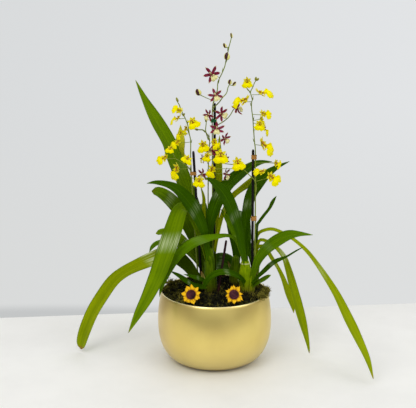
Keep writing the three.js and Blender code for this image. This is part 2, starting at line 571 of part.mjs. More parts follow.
const SPRAYS = {
  spray_left_yellow: {
    stems: [
      [[-23.5, 3, 99], [-26, 3, 130], [-30.5, 3, 200], [-34.5, 3, 270], [-37, 3, 322], [-37, 3, 351],
        [-39, 2, 363], [-41, 1, 375], [-45, 0, 387], [-49, -1, 395], [-54, -2, 408], [-57, -2, 413]],
      [[-36.5, 3, 303], [-42, -1, 313], [-60, -1, 325]],
    ],
    blooms: [
      { at: [-54, -7, 400], turn: -20, hang: 92, twist: -50, size: 0.8 },
      { at: [-56, -4, 388], turn: -20, hang: 58, twist: -72, nod: -22, size: 1.05 },
      { at: [-34, -8, 383], turn: 12, hang: -25, nod: 25, size: 0.95 },
      { at: [-44, 12, 369], turn: -65, hang: 0, size: 0.75 },
      { at: [-52, -2, 364], turn: -25, hang: 15, twist: -45, size: 0.8 },
      { at: [-57, -6, 351], turn: -15, hang: 35, twist: -40, size: 0.8 },
      { at: [-68, -4, 341], turn: -15, hang: 5, nod: 35, size: 0.68 },
      { at: [-77, -6, 327], turn: -10, hang: 42, twist: -50, size: 0.95 },
      { at: [-42, -11, 327], turn: 5, hang: 32, nod: 40, size: 0.9 },
      { at: [-58, -9, 310], turn: -64, hang: 0, size: 1.25 },
      { at: [-24, -12, 293], turn: 8, hang: 12, nod: 25, size: 0.92, via: [-32, -5, 296] },
    ],
    buds: [
      { at: [-57, -2, 416], size: [3.6, 7.5], lean: [-0.4, 0, 1] },
      { at: [-47, -2, 393], size: [3, 5.5], lean: [0.6, 0, 1] },
    ],
  },
  spray_centre_maroon: {
    stems: [
      [[-2, 15, 99], [-3, 15.5, 200], [-3.5, 15.5, 330], [-3.5, 15.5, 400], [2, 16, 417], [4, 17, 429],
        [5, 17, 441], [11, 17, 454], [15, 16, 464], [17, 16, 474], [20, 15, 487], [21, 14, 493],
        [23, 14, 500], [25, 14, 508]],
      [[-3.5, 15.5, 400], [6, 15, 409], [12, 15, 417], [18, 15, 424], [20, 15, 432], [23, 14, 438]],
      [[-3.5, 15.5, 372], [4, 13, 375], [13, 13, 380], [22, 12, 388], [29, 10, 400]],
    ],
    blooms: [
      { at: [-5, 9, 453], turn: -15, hang: -40, size: 1.3 },
      { at: [1, 8, 421], turn: 5, hang: -20, nod: 25, size: 1.15 },
      { at: [10, 6, 393], turn: 15, hang: -65, size: 1.1 },
      { at: [-10, 7, 391], turn: -38, hang: 30, size: 1 },
      { at: [3, 6, 370], turn: 0, hang: 0, nod: 30, size: 1.15 },
      { at: [16, 9, 354], turn: 35, hang: -45, size: 0.95 },
      { at: [34, 8, 401], turn: 30, hang: -70, twist: 40, size: 1.1 },
      { at: [-6, 7, 336], turn: -10, hang: 20, nod: 30, size: 1.05 },
      { at: [-19, 3, 324], turn: -70, hang: 20, size: 0.8 },
      { at: [-19, 3, 299], turn: -40, hang: 10, size: 1.05 },
      { at: [18, 1, 300], turn: 62, hang: -10, size: 1.05 },
      { at: [18, 16, 322], turn: 120, hang: 0, size: 0.8 },
    ],
    buds: [
      { at: [25, 14, 511], size: [3.8, 8], lean: [-0.2, 0, 1] },
      { at: [15, 13, 496], size: [5.5, 8], lean: [-0.5, 0, 1] },
      { at: [18.5, 11, 480], size: [9.5, 12], lean: [0, 0, 1] },
      { at: [-25, 9, 426], size: [9.5, 11], lean: [-0.6, 0, 1] },
      { at: [23, 14, 441], size: [6.5, 8], lean: [0.1, 0, 1] },
      { at: [30, 15, 438], size: [5.5, 7.5], lean: [0.7, 0, 1] },
    ],
  },
  spray_centre_yellow: {
    stems: [
      [[-9, 15, 99], [-10, 15.5, 170], [-10, 15, 300], [-8, 14, 344], [-9, 13, 356], [-17, 12, 367],
        [-25, 11, 368]],
      [[-10, 13, 352], [-14, 12, 366], [-13.5, 11, 374], [-13, 10, 380]],
    ],
    blooms: [
      { at: [-18, 5, 345], turn: -10, hang: -18, nod: 20, size: 0.96 },
      { at: [-1, -3, 351], turn: 45, hang: -20, size: 0.85, via: [-8, 7, 346] },
      { at: [-12, -5, 330], turn: 15, hang: 15, size: 0.68, via: [-12, 6, 315] },
    ],
    buds: [
      { at: [-13, 10, 383], size: [3.5, 6.5], lean: [0.1, 0, 1] },
      { at: [-28, 11, 368.5], size: [3.5, 6], lean: [-1, 0, 0.3] },
    ],
  },
  spray_right_yellow: {
    stems: [
      [[63.5, 10, 99], [63.5, 9.5, 160], [63.6, 8, 240], [62.8, 6.5, 310], [62.5, 6, 338], [61, 6, 350],
        [59, 6, 375], [58, 6, 387], [56, 5, 402], [56, 5, 411], [57, 5, 415], [55, 4, 422], [54, 4, 427],
        [57, 4, 433], [60, 3, 441], [62, 3, 444]],
      [[54, 4, 427], [50, 5, 430], [48, 6, 434], [48, 6, 438]],
      [[63.4, 7.6, 268], [64.4, 4, 280], [61.5, -1.5, 291], [53, -4, 300], [44, 0, 308], [34, 3, 314],
        [22, 1, 316], [8, -1, 318]],
    ],
    blooms: [
      { at: [49, 4, 443], turn: -10, hang: -5, nod: 10, size: 0.81 },
      { at: [70, -3, 426], turn: 10, hang: -82, twist: 72, nod: -22, size: 1.35 },
      { at: [44, -6, 415], turn: -10, hang: 72, twist: -66, nod: -22, size: 1.35 },
      { at: [74, 0, 394], turn: 20, hang: -62, twist: 45, size: 0.9 },
      { at: [72, 15, 384], turn: 110, hang: -30, size: 0.77 },
      { at: [68, -9, 380], turn: 5, hang: 8, nod: 10, size: 0.81 },
      { at: [77, 10, 370], turn: 80, hang: 0, size: 0.9 },
      { at: [74, -9, 348], turn: 15, hang: -45, twist: 54, nod: -15, size: 1.46 },
      { at: [94, -2, 318], turn: 55, hang: -60, size: 0.77 },
      { at: [72, -8, 306], turn: 0, hang: 84, twist: -70, nod: -22, size: 0.96 },
      { at: [87, -5, 297], turn: 10, hang: -38, twist: 35, size: 1.13 },
      { at: [35, -5, 320], turn: 5, hang: -12, nod: 22, size: 1.04 },
      { at: [9, -9, 332], turn: 0, hang: 0, nod: 25, size: 1.13 },
      { at: [-4, -11, 310], turn: -48, hang: 5, size: 0.99 },
    ],
    buds: [
      { at: [62, 3, 447], size: [3.4, 6], lean: [0.2, 0, 1] },
      { at: [65, 3, 446], size: [3.2, 5], lean: [0.9, 0, 1] },
    ],
  },
};

function stemSteps(curve) {
  return Math.max(4, Math.round(curve.getLength() / STEM_STEP));
}

function stemCurves(name) {
  return SPRAYS[name].stems.map((points) => smoothCurve(points.map(vec)));
}

// A spray's own stems, thicker where a clearance is cut for them.
function stems(name, grow = 0) {
  return joined(stemCurves(name).map((curve) => tube(curve, STEM_RADIUS + grow, 4, stemSteps(curve))));
}

// The point on a spray's stems that is nearest to a point and lies lower than it.
function stemPointNear(name, target) {
  const samples = stemCurves(name).flatMap((curve) => {
    const corners = curve.getSpacedPoints(stemSteps(curve));
    const parts = [0, 0.2, 0.4, 0.6, 0.8];
    return corners.slice(1).flatMap((corner, i) => parts.map((t) => corners[i].clone().lerp(corner, t)));
  });
  const below = samples.filter((point) => point.z < target.z - 1);
  return below.reduce((best, point) => (point.distanceTo(target) < best.distanceTo(target) ? point : best));
}

// A bloom's stalk: it leaves the stem, comes in behind the bloom and ends as its column.
function stalk(name, spec) {
  const { at, via } = spec;
  const out = new THREE.Vector3(0, 0, 1).transformDirection(bloomFrame(spec));
  const throat = vec(at);
  const root = stemPointNear(name, via ? vec(via) : throat);
  const bend = via ? vec(via) : root.clone().lerp(throat, 0.4);
  const behind = throat.clone().addScaledVector(out, -0.3 * root.distanceTo(throat));
  const column = throat.clone().addScaledVector(out, COLUMN);
  return tube(new THREE.CubicBezierCurve3(root, bend, behind, column), PEDICEL_RADIUS, 3, 3);
}

// A bloom's own frame: X across it, Y up its face and Z out of it, at its throat.
function bloomFrame({ at, turn, hang, twist = 0, nod = 0, size }) {
  return new THREE.Matrix4()
    .makeTranslation(...at)
    .multiply(new THREE.Matrix4().makeRotationZ(radians(turn)))
    .multiply(new THREE.Matrix4().makeRotationY(radians(hang)))
    .multiply(new THREE.Matrix4().makeRotationX(radians(90)))
    .multiply(new THREE.Matrix4().makeRotationY(radians(twist)))
    .multiply(new THREE.Matrix4().makeRotationX(radians(-nod)))
    .multiply(new THREE.Matrix4().makeScale(size, size, 1));
}

// A bloom's outline: five pointed tepals, and below them a lip that widens from a claw to
// a notched front edge and leans out of the face.
function bloomOutline({ tepals, length, width, lip }) {
  const polar = (degrees, reach, rise) => {
    return [reach * Math.sin(radians(degrees)), reach * Math.cos(radians(degrees)), rise];
  };
  const spread = THREE.MathUtils.radToDeg(Math.atan2(width, 1.1 * length));
  const tepal = (angle) => [
    polar(angle - spread, length * TEPAL.waist, -TEPAL.droop),
    polar(angle, length, TEPAL.lift),
    polar(angle + spread, length * TEPAL.waist, -TEPAL.droop),
  ];
  const lipPoint = (along, across) => {
    return [across * lip.width, -along * lip.length, along * lip.lean - across * 3];
  };
  const [top, side, low] = tepals;
  const half = [
    ...tepal(top).slice(1),
    polar((top + side) / 2, TEPAL.claw, 0),
    ...tepal(side),
    polar((side + low) / 2, TEPAL.claw, 0),
    ...tepal(low),
    polar(low + (180 - low) * 0.42, TEPAL.claw, 0),
    lipPoint(0.58, 0.48),
    lipPoint(0.96, 0.3),
  ];
  const mirrored = half.slice(1).reverse().map(([x, y, rise]) => [-x, y, rise]);
  return [...half, lipPoint(0.88, 0), ...mirrored].reverse();
}

function bloom(name, spec, kind) {
  return [cutSheet(bloomOutline(kind), bloomFrame(spec), PETAL_THICKNESS), stalk(name, spec)];
}

function bud(name, { at, size, lean }) {
  const centre = vec(at);
  const root = stemPointNear(name, centre);
  const neck = tube(new THREE.LineCurve3(root, centre), PEDICEL_RADIUS, 3, 1);
  return [egg(centre, vec(lean), ...size), neck];
}

function spray(name) {
  const kind = name.endsWith("maroon") ? MAROON : YELLOW;
  const { blooms, buds } = SPRAYS[name];
  return joined([
    stems(name),
    ...blooms.flatMap((spec) => bloom(name, spec, kind)),
    ...buds.flatMap((spec) => bud(name, spec)),
  ]);
}

// ---- Ties: short sleeves round a stake and the stem beside it.

const TIES = {
  tie_left: { stake: "stake_left", spray: "spray_left_yellow", z: 301, height: 5, wall: 0.6 },
  clip_middle: { stake: "stake_middle", spray: "spray_centre_maroon", z: 381, height: 5, wall: 0.9 },
  tie_right_upper: { stake: "stake_right", spray: "spray_right_yellow", z: 326, height: 6.5, wall: 0.6 },
  tie_right_lower: { stake: "stake_right", spray: "spray_right_yellow", z: 228, height: 7, wall: 0.6 },
};

function stemAt(name, z) {
  const samples = smoothCurve(SPRAYS[name].stems[0].map(vec)).getSpacedPoints(400);
  return samples.reduce((best, point) => (Math.abs(point.z - z) < Math.abs(best.z - z) ? point : best));
}

function tie({ stake: stakeName, spray: sprayName, z, height, wall }) {
  const post = stakeAt(stakeName, z);
  const stem = stemAt(sprayName, z);
  const heading = Math.atan2(stem.y - post.y, stem.x - post.x);
  const span = Math.hypot(stem.x - post.x, stem.y - post.y);
  const outline = (grow) => {
    const shape = new THREE.Shape();
    shape.absarc(0, 0, STAKE_RADIUS + grow, Math.PI / 2, (3 * Math.PI) / 2, false);
    shape.absarc(span, 0, STEM_RADIUS + grow + 0.4, -Math.PI / 2, Math.PI / 2, false);
    return shape;
  };
  const sleeve = outline(TIE_SLACK + wall);
  sleeve.holes.push(new THREE.Path(outline(TIE_SLACK).getPoints(2)));
  const cut = { depth: height, bevelEnabled: false, curveSegments: 2 };
  const geometry = new THREE.ExtrudeGeometry(sleeve, cut);
  const axis = vec(STAKES[stakeName].top).sub(vec(STAKES[stakeName].moss)).normalize();
  geometry.translate(0, 0, -height / 2).rotateZ(heading);
  geometry.applyQuaternion(turnTo(axis, new THREE.Vector3(0, 0, 1)));
  return solid(geometry.translate(...post));
}

// ---- The dark prop stick between the two crowns.

const PROP_STICK = { foot: [3, -20, 101], top: [18, -12, 198], radius: 1.8 };

function propStick(grow = 0) {
  const { foot, top, radius } = PROP_STICK;
  return rod(vec(foot).setZ(foot[2] - grow), vec(top), radius + grow, 6);
}

// ---- Sunflower picks: petals on a wire, and a domed disc in front.

const SUNFLOWERS = {
  sunflower_left: { at: [-36, -63, 126], turn: -8, pointed: false },
  sunflower_right: { at: [29, -63, 126], turn: 6, pointed: true },
};

function sunflowerFrame({ at, turn }) {
  return new THREE.Matrix4()
    .makeTranslation(...at)
    .multiply(new THREE.Matrix4().makeRotationZ(radians(turn)))
    .multiply(new THREE.Matrix4().makeRotationX(radians(90 - SUNFLOWER.tilt)));
}

function sunflowerWire({ at }, grow = 0) {
  const [x, y, z] = at;
  const foot = new THREE.Vector3(x, y + SUNFLOWER.wireLean, SUNFLOWER.wireFoot - 2 * grow);
  return rod(foot, new THREE.Vector3(x, y, z), SUNFLOWER.wire + grow, 6);
}

function sunflowerPetals(spec) {
  const { radius, disc, petals, thickness } = SUNFLOWER;
  const turn = (2 * Math.PI) / petals;
  const point = (angle, reach, rise) => [reach * Math.cos(angle), reach * Math.sin(angle), rise];
  const outline = Array.from({ length: petals }, (_, k) => {
    const angle = k * turn;
    const reach = radius * (k % 2 ? 0.92 : 1);
    const rise = k % 2 ? 1.6 : -0.4;
    const tip = spec.pointed ? [[0, 1]] : [[-0.16, 0.97], [0.16, 0.97]];
    return [
      point(angle - 0.5 * turn, disc + 1, 0),
      point(angle - 0.36 * turn, mix(disc, reach, 0.6), 0),
      ...tip.map(([side, far]) => point(angle + side * turn, reach * far, rise)),
      point(angle + 0.36 * turn, mix(disc, reach, 0.6), 0),
    ];
  }).flat();
  return joined([cutSheet(outline, sunflowerFrame(spec), thickness), sunflowerWire(spec)]);
}

function sunflowerDisc(spec) {
  const { disc, petals, thickness } = SUNFLOWER;
  const profile = [[0, 0], [disc * 0.98, 0], [disc, 0.9], [disc * 0.86, 2], [disc * 0.55, 2.6], [0, 2.4]];
  const dome = new THREE.LatheGeometry(profile.map(([r, z]) => new THREE.Vector2(r, z)), petals);
  dome.rotateX(Math.PI / 2);
  dome.translate(0, 0, thickness / 2 + CLEARANCE);
  return solid(dome.applyMatrix4(sunflowerFrame(spec)));
}

// ---- The scene graph.

const FINISHES = {
  bowl: ["#c9b46a", 0.38, 1],
  mix: ["#3b2a1c", 0.95, 0],
  moss: ["#4a4a14", 0.95, 0],
  shoot: ["#7f9a1e", 0.5, 0],
  leaf: ["#4f7d14", 0.45, 0],
  stake: ["#151312", 0.6, 0],
  tie: ["#b98a4e", 0.7, 0],
  clip: ["#6aa23a", 0.4, 0],
  yellow: ["#f5e600", 0.5, 0],
  maroon: ["#6a0c2a", 0.5, 0],
  petal: ["#f5b511", 0.8, 0],
  disc: ["#46202e", 0.9, 0],
};

const planting = new THREE.Group();

function place(name, body, finish) {
  const [color, roughness, metalness] = FINISHES[finish];
  const material = new THREE.MeshStandardMaterial({ color, roughness, metalness });
  const mesh = new THREE.Mesh(geometryOf(body), material);
  mesh.name = name;
  planting.add(mesh);
}

const standing = [
  ...Object.keys(SHOOTS).map((name) => shoot(name, CLEARANCE)),
  ...Object.keys(STAKES).map((name) => stake(name, CLEARANCE)),
  ...Object.keys(SPRAYS).map((name) => stems(name, CLEARANCE)),
  ...Object.values(SUNFLOWERS).map((spec) => sunflowerWire(spec, CLEARANCE)),
  propStick(CLEARANCE),
];

place("bowl", bowl(), "bowl");
place("bark_mix", without(barkMix(), standing), "mix");
const spills = without(joined(MOSS_SPILLS.map(mossSpill)), [bowl(CLEARANCE)]);
place("moss", largest(without(joined([mossMound(), spills]), standing)), "moss");

for (const name of Object.keys(SHOOTS)) {
  place(name, shoot(name), "shoot");
}
for (const name of Object.keys(STAKES)) {
  place(name, stake(name), "stake");
}
place("prop_stick", propStick(), "stake");

// Each leaf leaves room for the shoots, stakes and stems, and for the leaves before it.
const taken = [...standing];
for (const [name, spec] of Object.entries(LEAVES)) {
  place(name, largest(without(blade(spec), taken)), "leaf");
  taken.push(blade(spec, CLEARANCE));
}

for (const name of Object.keys(SPRAYS)) {
  place(name, spray(name), name.endsWith("maroon") ? "maroon" : "yellow");
}
for (const [name, spec] of Object.entries(TIES)) {
  place(name, tie(spec), name.startsWith("clip") ? "clip" : "tie");
}
for (const [name, spec] of Object.entries(SUNFLOWERS)) {
  place(`${name}_petals`, sunflowerPetals(spec), "petal");
  place(`${name}_disc`, sunflowerDisc(spec), "disc");
}

export default planting;
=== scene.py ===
"""An oncidium orchid planting in a round brushed gold bowl, dressed for rendering.

The tables give lengths in millimetres, and the meshes are made in metres. +Z is up, -Y is
the front, and the origin is the middle of the bowl's flat base.
"""

import bisect
import functools
import logging
import math
import random
from dataclasses import dataclass, replace
from enum import Enum
from typing import Any, Callable, Optional, Sequence

import bmesh
import bpy
from mathutils import Matrix, Vector, noise


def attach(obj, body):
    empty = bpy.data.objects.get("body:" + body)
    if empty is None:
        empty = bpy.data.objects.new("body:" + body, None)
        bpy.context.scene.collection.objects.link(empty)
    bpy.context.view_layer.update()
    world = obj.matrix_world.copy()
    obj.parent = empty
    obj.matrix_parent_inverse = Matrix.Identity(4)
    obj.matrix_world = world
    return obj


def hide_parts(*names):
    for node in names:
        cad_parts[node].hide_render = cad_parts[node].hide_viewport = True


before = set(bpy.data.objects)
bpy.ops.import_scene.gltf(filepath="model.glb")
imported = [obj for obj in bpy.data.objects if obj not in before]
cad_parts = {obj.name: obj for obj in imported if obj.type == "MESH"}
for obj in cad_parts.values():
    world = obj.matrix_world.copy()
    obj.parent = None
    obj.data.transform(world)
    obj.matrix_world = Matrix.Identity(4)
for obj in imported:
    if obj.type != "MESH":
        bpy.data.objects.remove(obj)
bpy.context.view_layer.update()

LOG = logging.getLogger("orchid")
MM = 0.001
BODY = "root"
UV_LAYER = "UVMap"
UNDERSIDE = 2.0
TURN = 2 * math.pi
GOLDEN_ANGLE = math.pi * (3 - math.sqrt(5))
SPRAY_SEED = 11
PICK_SEED = 31

Mesh = bmesh.types.BMesh
Marks = dict[bmesh.types.BMVert, tuple[float, float]]
Triple = tuple[float, float, float]
Colour = Triple
Path = Sequence[tuple[float, float, float, float]]
Surface = Callable[[float, float], Vector]

WHITE = (255, 255, 255)


def linear(colour: Colour) -> list[float]:
    """Turn a screen colour from 0 to 255 into a linear one with full alpha."""
    return [((c / 255 + 0.055) / 1.055) ** 2.4 if c > 10 else c / 3294.6 for c in colour] + [1.0]


def lerp(start: float, end: float, share: float) -> float:
    """Return the number that lies a share of the way from start to end."""
    return start + (end - start) * share


def smooth(value: float, low: float, high: float) -> float:
    """Return an eased step from 0 at low to 1 at high."""
    share = min(max((value - low) / (high - low), 0.0), 1.0)
    return share * share * (3 - 2 * share)


def around(angle: float, radius: float = 1.0, z: float = 0.0) -> Vector:
    """Return the point at an angle, a radius and a height about the vertical axis."""
    return Vector((radius * math.cos(angle), radius * math.sin(angle), z))


def turned(degrees: float, axis: str) -> Matrix:
    """Return a turn by degrees about an axis."""
    return Matrix.Rotation(math.radians(degrees), 4, axis)


# ---- Shader graphs.


def math_method(operation: str, swapped: bool = False) -> Callable[..., "Signal"]:
    """Make an operator that adds one Math node.

    Args:
        operation: what the node does.
        swapped: True if the other value comes first.

    Returns:
        The operator.
    """

    def operate(self: "Signal", other: Any = 0.0) -> "Signal":
        """Return the node's result."""
        values = (other, self) if swapped else (self, other)
        return self.graph.add("Math", {"operation": operation}, dict(enumerate(values)))

    return operate


class Signal:
    """A shader socket that can stand in sums, products and comparisons."""

    __add__ = math_method("ADD")
    __radd__ = math_method("ADD", swapped=True)
    __sub__ = math_method("SUBTRACT")
    __rsub__ = math_method("SUBTRACT", swapped=True)
    __mul__ = math_method("MULTIPLY")
    __gt__ = math_method("GREATER_THAN")
    __abs__ = math_method("ABSOLUTE")
    wave = math_method("SINE")

    def __init__(self, graph: "Graph", socket: bpy.types.NodeSocket) -> None:
        """Keep the socket and the graph that it belongs to."""
        self.graph = graph
        self.socket = socket

    def step(self, low: float, high: float) -> "Signal":
        """Return an eased step from 0 at low to 1 at high."""
        sockets = {"Value": self, "From Min": low, "From Max": high}
        return self.graph.add("MapRange", {"interpolation_type": "SMOOTHSTEP"}, sockets)


class Graph:
    """The node tree of one material or of the world."""

    def __init__(self, owner: Any) -> None:
        """Empty the owner's node tree."""
        self.owner = owner
        owner.use_nodes = True
        self.tree = owner.node_tree
        self.tree.nodes.clear()

    def add(
        self,
        kind: str,
        settings: Optional[dict[str, Any]] = None,
        sockets: Optional[dict[Any, Any]] = None,
        out: Any = 0,
    ) -> Signal:
        """Add a node.

        Args:
            kind: the node's type, without its first word.
            settings: properties that are set first.
            sockets: values or signals for its inputs, by name or number.
            out: the output to return, by name or number.

        Returns:
            The chosen output, or the first input of a node that has none.
        """
        node = self.tree.nodes.new(f"ShaderNode{kind}")
        for key, value in (settings or {}).items():
            setattr(node, key, value)
        for key, value in (sockets or {}).items():
            if isinstance(value, Signal):
                self.tree.links.new(value.socket, node.inputs[key])
            else:
                node.inputs[key].default_value = value
        return Signal(self, node.outputs[out] if node.outputs else node.inputs[0])

    def parts(self, vector: Signal) -> list[Signal]:
        """Return the three numbers of a vector."""
        outputs = self.add("SeparateXYZ", sockets={0: vector}).socket.node.outputs
        return [Signal(self, output) for output in outputs]

    def vector(self, x: Any, y: Any, z: Any = 0.0) -> Signal:
        """Return a vector of three numbers."""
        return self.add("CombineXYZ", sockets={0: x, 1: y, 2: z})

    def stretch(self, vector: Signal, factors: Triple) -> Signal:
        """Return a vector with each of its numbers multiplied."""
        return self.add("VectorMath", {"operation": "MULTIPLY"}, {0: vector, 1: factors})

    def shift(self, vector: Signal, other: Signal) -> Signal:
        """Return the sum of two vectors."""
        return self.add("VectorMath", {"operation": "ADD"}, {0: vector, 1: other})

    def noise(
        self, vector: Signal, scale: float = 1.0, detail: float = 2.0, rough: float = 0.5
    ) -> Signal:
        """Return a noise from 0 to 1 at a scaled vector, with finer layers of a roughness."""
        sockets = {"Vector": vector, "Scale": scale, "Detail": detail, "Roughness": rough}
        return self.add("TexNoise", sockets=sockets)

    def lay(self, base: Any, *layers: tuple[Any, Any]) -> Signal:
        """Lay colours over a base, each a signal or a screen colour.

        Args:
            base: the lowest colour.
            layers: the share and the colour of each layer, from below.

        Returns:
            The blend.
        """
        for share, layer in layers:
            pair = [c if isinstance(c, Signal) else linear(c) for c in (base, layer)]
            base = self.add("Mix", {"data_type": "RGBA"}, {0: share, 6: pair[0], 7: pair[1]}, out=2)
        return base

    def bump(self, height: Signal, relief: float, strength: float) -> Signal:
        """Return a normal that a height has bent, with its relief in millimetres."""
        sockets = {"Height": height, "Distance": relief * MM, "Strength": strength}
        return self.add("Bump", sockets=sockets)

    def blade(self) -> list[Signal]:
        """Return the places along and across a blade, and 1 where it is its underside."""
        along, across, _ = self.parts(self.add("UVMap", {"uv_map": UV_LAYER}))
        below = across > 1.5
        return [along, across - below * UNDERSIDE, below]


# ---- Finishes.


def shader_inputs(
    colour: Signal, rough: Any, normal: Signal, specular: float = 0.5, tint: Colour = WHITE
) -> dict[str, Any]:
    """Name a shader's inputs.

    Args:
        colour: the base colour.
        rough: the roughness.
        normal: the bent normal.
        specular: how strong its highlights are.
        tint: the screen colour of its highlights.

    Returns:
        The inputs by name.
    """
    return {
        "Base Color": colour,
        "Roughness": rough,
        "Normal": normal,
        "Specular IOR Level": specular,
        "Specular Tint": linear(tint),
    }


@dataclass(frozen=True)
class Finish:
    """A named finish, which makes its material once."""

    name: str

    def paint(self, graph: Graph, where: Signal) -> dict[str, Any]:
        """Return the shader's inputs, which may read where a point is on the object."""
        raise NotImplementedError

    @functools.cache
    def material(self) -> bpy.types.Material:
        """Make the material.

        Returns:
            The material, the same one each time.
        """
        graph = Graph(bpy.data.materials.new(self.name))
        where = graph.add("TexCoord", out="Object")
        shader = graph.add("BsdfPrincipled", sockets=self.paint(graph, where))
        graph.add("OutputMaterial", sockets={"Surface": shader})
        return graph.owner


@dataclass(frozen=True)
class LeafFinish(Finish):
    """A strap leaf's skin: parallel veins, a midrib with painted shade beside it, painted highlight
    glints and a drier tip.
    """

    deep: Colour
    fresh: Colour
    tip: Colour
    tip_start: float = 0.9
    gloss: float = 0.36
    # Painted highlight: where a pale, streaky glint sits along the leaf, how strong it is and how
    # long.
    painted_glint_at: float = 0.5
    painted_glint_share: float = 0.25
    painted_glint_length: float = 0.06
    rib_share: float = 0.45
    mottle: float = 0.3
    light: Colour = (118, 146, 10)
    underside: Colour = (88, 118, 8)
    # The foot's colour and reach: a paler base on most leaves, painted shade on the long leaf.
    foot: Optional[Colour] = None
    foot_share: float = 0.3
    foot_start: float = 0.0
    foot_end: float = 0.25

    def paint(self, graph: Graph, where: Signal) -> dict[str, Any]:
        """Paint the veins, rib, painted crease shade, edges, underside, foot (painted shade on the
        long leaf), painted glint highlight and tip.
        """
        along, across, below = graph.blade()
        drift = graph.stretch(where, (5.0, 5.0, 5.0))
        streak = graph.noise(graph.shift(graph.vector(across * 17.0, along * 4.0), drift))
        broad = graph.shift(graph.vector(across * 6.0, along * 1.5, 4.0), drift)
        band = graph.noise(broad, detail=1.0)
        blotch = graph.noise(where, 30.0)
        middle = abs(across - 0.5)
        rib = 1.0 - middle.step(0.0, 0.05)
        # Painted shade: dark lines in the creases where the keel bends beside the midrib.
        crease = 1.0 - abs(middle - 0.075).step(0.0, 0.035)
        shade = streak * 0.4 + band * 0.4 + blotch * self.mottle + (0.1 - self.mottle * 0.5)
        # The foot: a paler base on most leaves, painted shade on the long leaf.
        foot = (1.0 - along.step(self.foot_start, self.foot_end)) * self.foot_share
        # Painted highlight: a pale, streaky glint laid slantwise across the leaf.
        slant = along + (across - 0.5) * self.painted_glint_length * 0.6
        painted_glint = 1.0 - abs(slant - self.painted_glint_at).step(0.0, self.painted_glint_length)
        colour = graph.lay(
            self.deep,
            (shade.step(0.34, 0.66), self.fresh),
            (rib * self.rib_share, self.light),
            # Painted shade in the creases.
            (crease * self.rib_share, self.deep),
            (middle.step(0.43, 0.5) * 0.35, self.light),
            (below * 0.5, self.underside),
            # The foot: paler on most leaves, painted shade on the long leaf.
            (foot, self.foot or self.light),
            # Painted highlight: the glint.
            (painted_glint * streak.step(0.35, 0.75) * self.painted_glint_share, (226, 238, 190)),
            (along.step(self.tip_start, 1.0) * (0.6 + blotch * 0.7), self.tip),
        )
        rough = self.gloss + streak * 0.1 + below * 0.1 - painted_glint * 0.08
        normal = graph.bump(streak * 0.5 + band * 0.6 - rib * 0.8, 0.16, 0.7)
        return shader_inputs(colour, rough, normal, 0.12, (206, 232, 30))


@dataclass(frozen=True)
class ShootFinish(Finish):
    """A pseudobulb's or sheath's skin: long pleats, greener above and paler at its foot."""

    skin: Colour
    pale: Colour
    foot: Colour
    ring_height: float = 0.0

    def paint(self, graph: Graph, where: Signal) -> dict[str, Any]:
        """Paint the pleats, the foot and, where it has a height, the pale ring."""
        up = graph.parts(where)[2]
        pleat = graph.noise(graph.stretch(where, (420.0, 420.0, 14.0)))
        blotch = graph.noise(where, 60.0, 3.0, 0.6)
        layers = [
            ((pleat * 0.6 + blotch * 0.4).step(0.3, 0.7), self.pale),
            ((1.0 - up.step(0.112, 0.134)) * 0.75 * (0.4 + blotch), self.foot),
        ]
        if self.ring_height:
            ring = 1.0 - abs(up - self.ring_height).step(0.0004, 0.0013)
            layers.append((ring * 0.8, (214, 214, 150)))
        colour = graph.lay(self.skin, *layers)
        normal = graph.bump(pleat, 0.5, 0.8)
        return shader_inputs(colour, 0.42 + blotch * 0.15, normal, 0.15, (220, 236, 90))


@dataclass(frozen=True)
class TepalFinish(Finish):
    """A tepal's skin: bars across it, a darker throat and a paler tip."""

    body: Colour
    bars: Colour
    tip: Colour
    bar_share: float
    tip_start: float
    patches: float = 0.2

    def paint(self, graph: Graph, where: Signal) -> dict[str, Any]:
        """Paint the bars near the throat, the tip and the patches."""
        along, across, _ = graph.blade()
        grain = graph.noise(graph.vector(across * 9.0, along * 2.5))
        patch = graph.noise(where, 420.0)
        bars = ((along * 15.0 + patch * 6.0).wave() * 0.5 + 0.5).step(0.52, 0.72)
        colour = graph.lay(
            self.body,
            (bars * (1.0 - along.step(0.45, 0.8)) * self.bar_share, self.bars),
            (along.step(self.tip_start, 1.0), self.tip),
            (patch.step(0.4, 0.75) * self.patches, self.tip),
        )
        return shader_inputs(colour, 0.45 + grain * 0.1, graph.bump(grain, 0.15, 0.6), 0.25)


@dataclass(frozen=True)
class LipFinish(Finish):
    """A lip's skin: a bright skirt with a spotted throat and fine veins."""

    skirt: Colour
    shade: Colour
    throat: Colour
    throat_reach: float

    def paint(self, graph: Graph, where: Signal) -> dict[str, Any]:
        """Paint the veins down the skirt, and the spots at the throat."""
        along, across, _ = graph.blade()
        veins = graph.noise(graph.vector(across * 22.0, along * 2.0))
        reach = along + graph.noise(where, 300.0) * 0.16 - 0.08
        inner = 1.0 - reach.step(self.throat_reach * 0.6, self.throat_reach)
        colour = graph.lay(
            self.skirt,
            (veins.step(0.3, 0.75) * 0.5, self.shade),
            (inner * (0.55 + veins * 0.5), self.throat),
        )
        normal = graph.bump(veins, 0.2, 0.6)
        return shader_inputs(colour, 0.5 + veins * 0.1, normal, 0.12, self.skirt)


@dataclass(frozen=True)
class Grain:
    """How two noises lie: a fine one, which may be stretched, and broad patches."""

    stretch: Triple
    detail: tuple[float, float]
    patch: tuple[float, float, float]
    share: float
    low: float
    high: float
    gloss: float
    spread: float
    relief: float
    strength: float
    specular: float


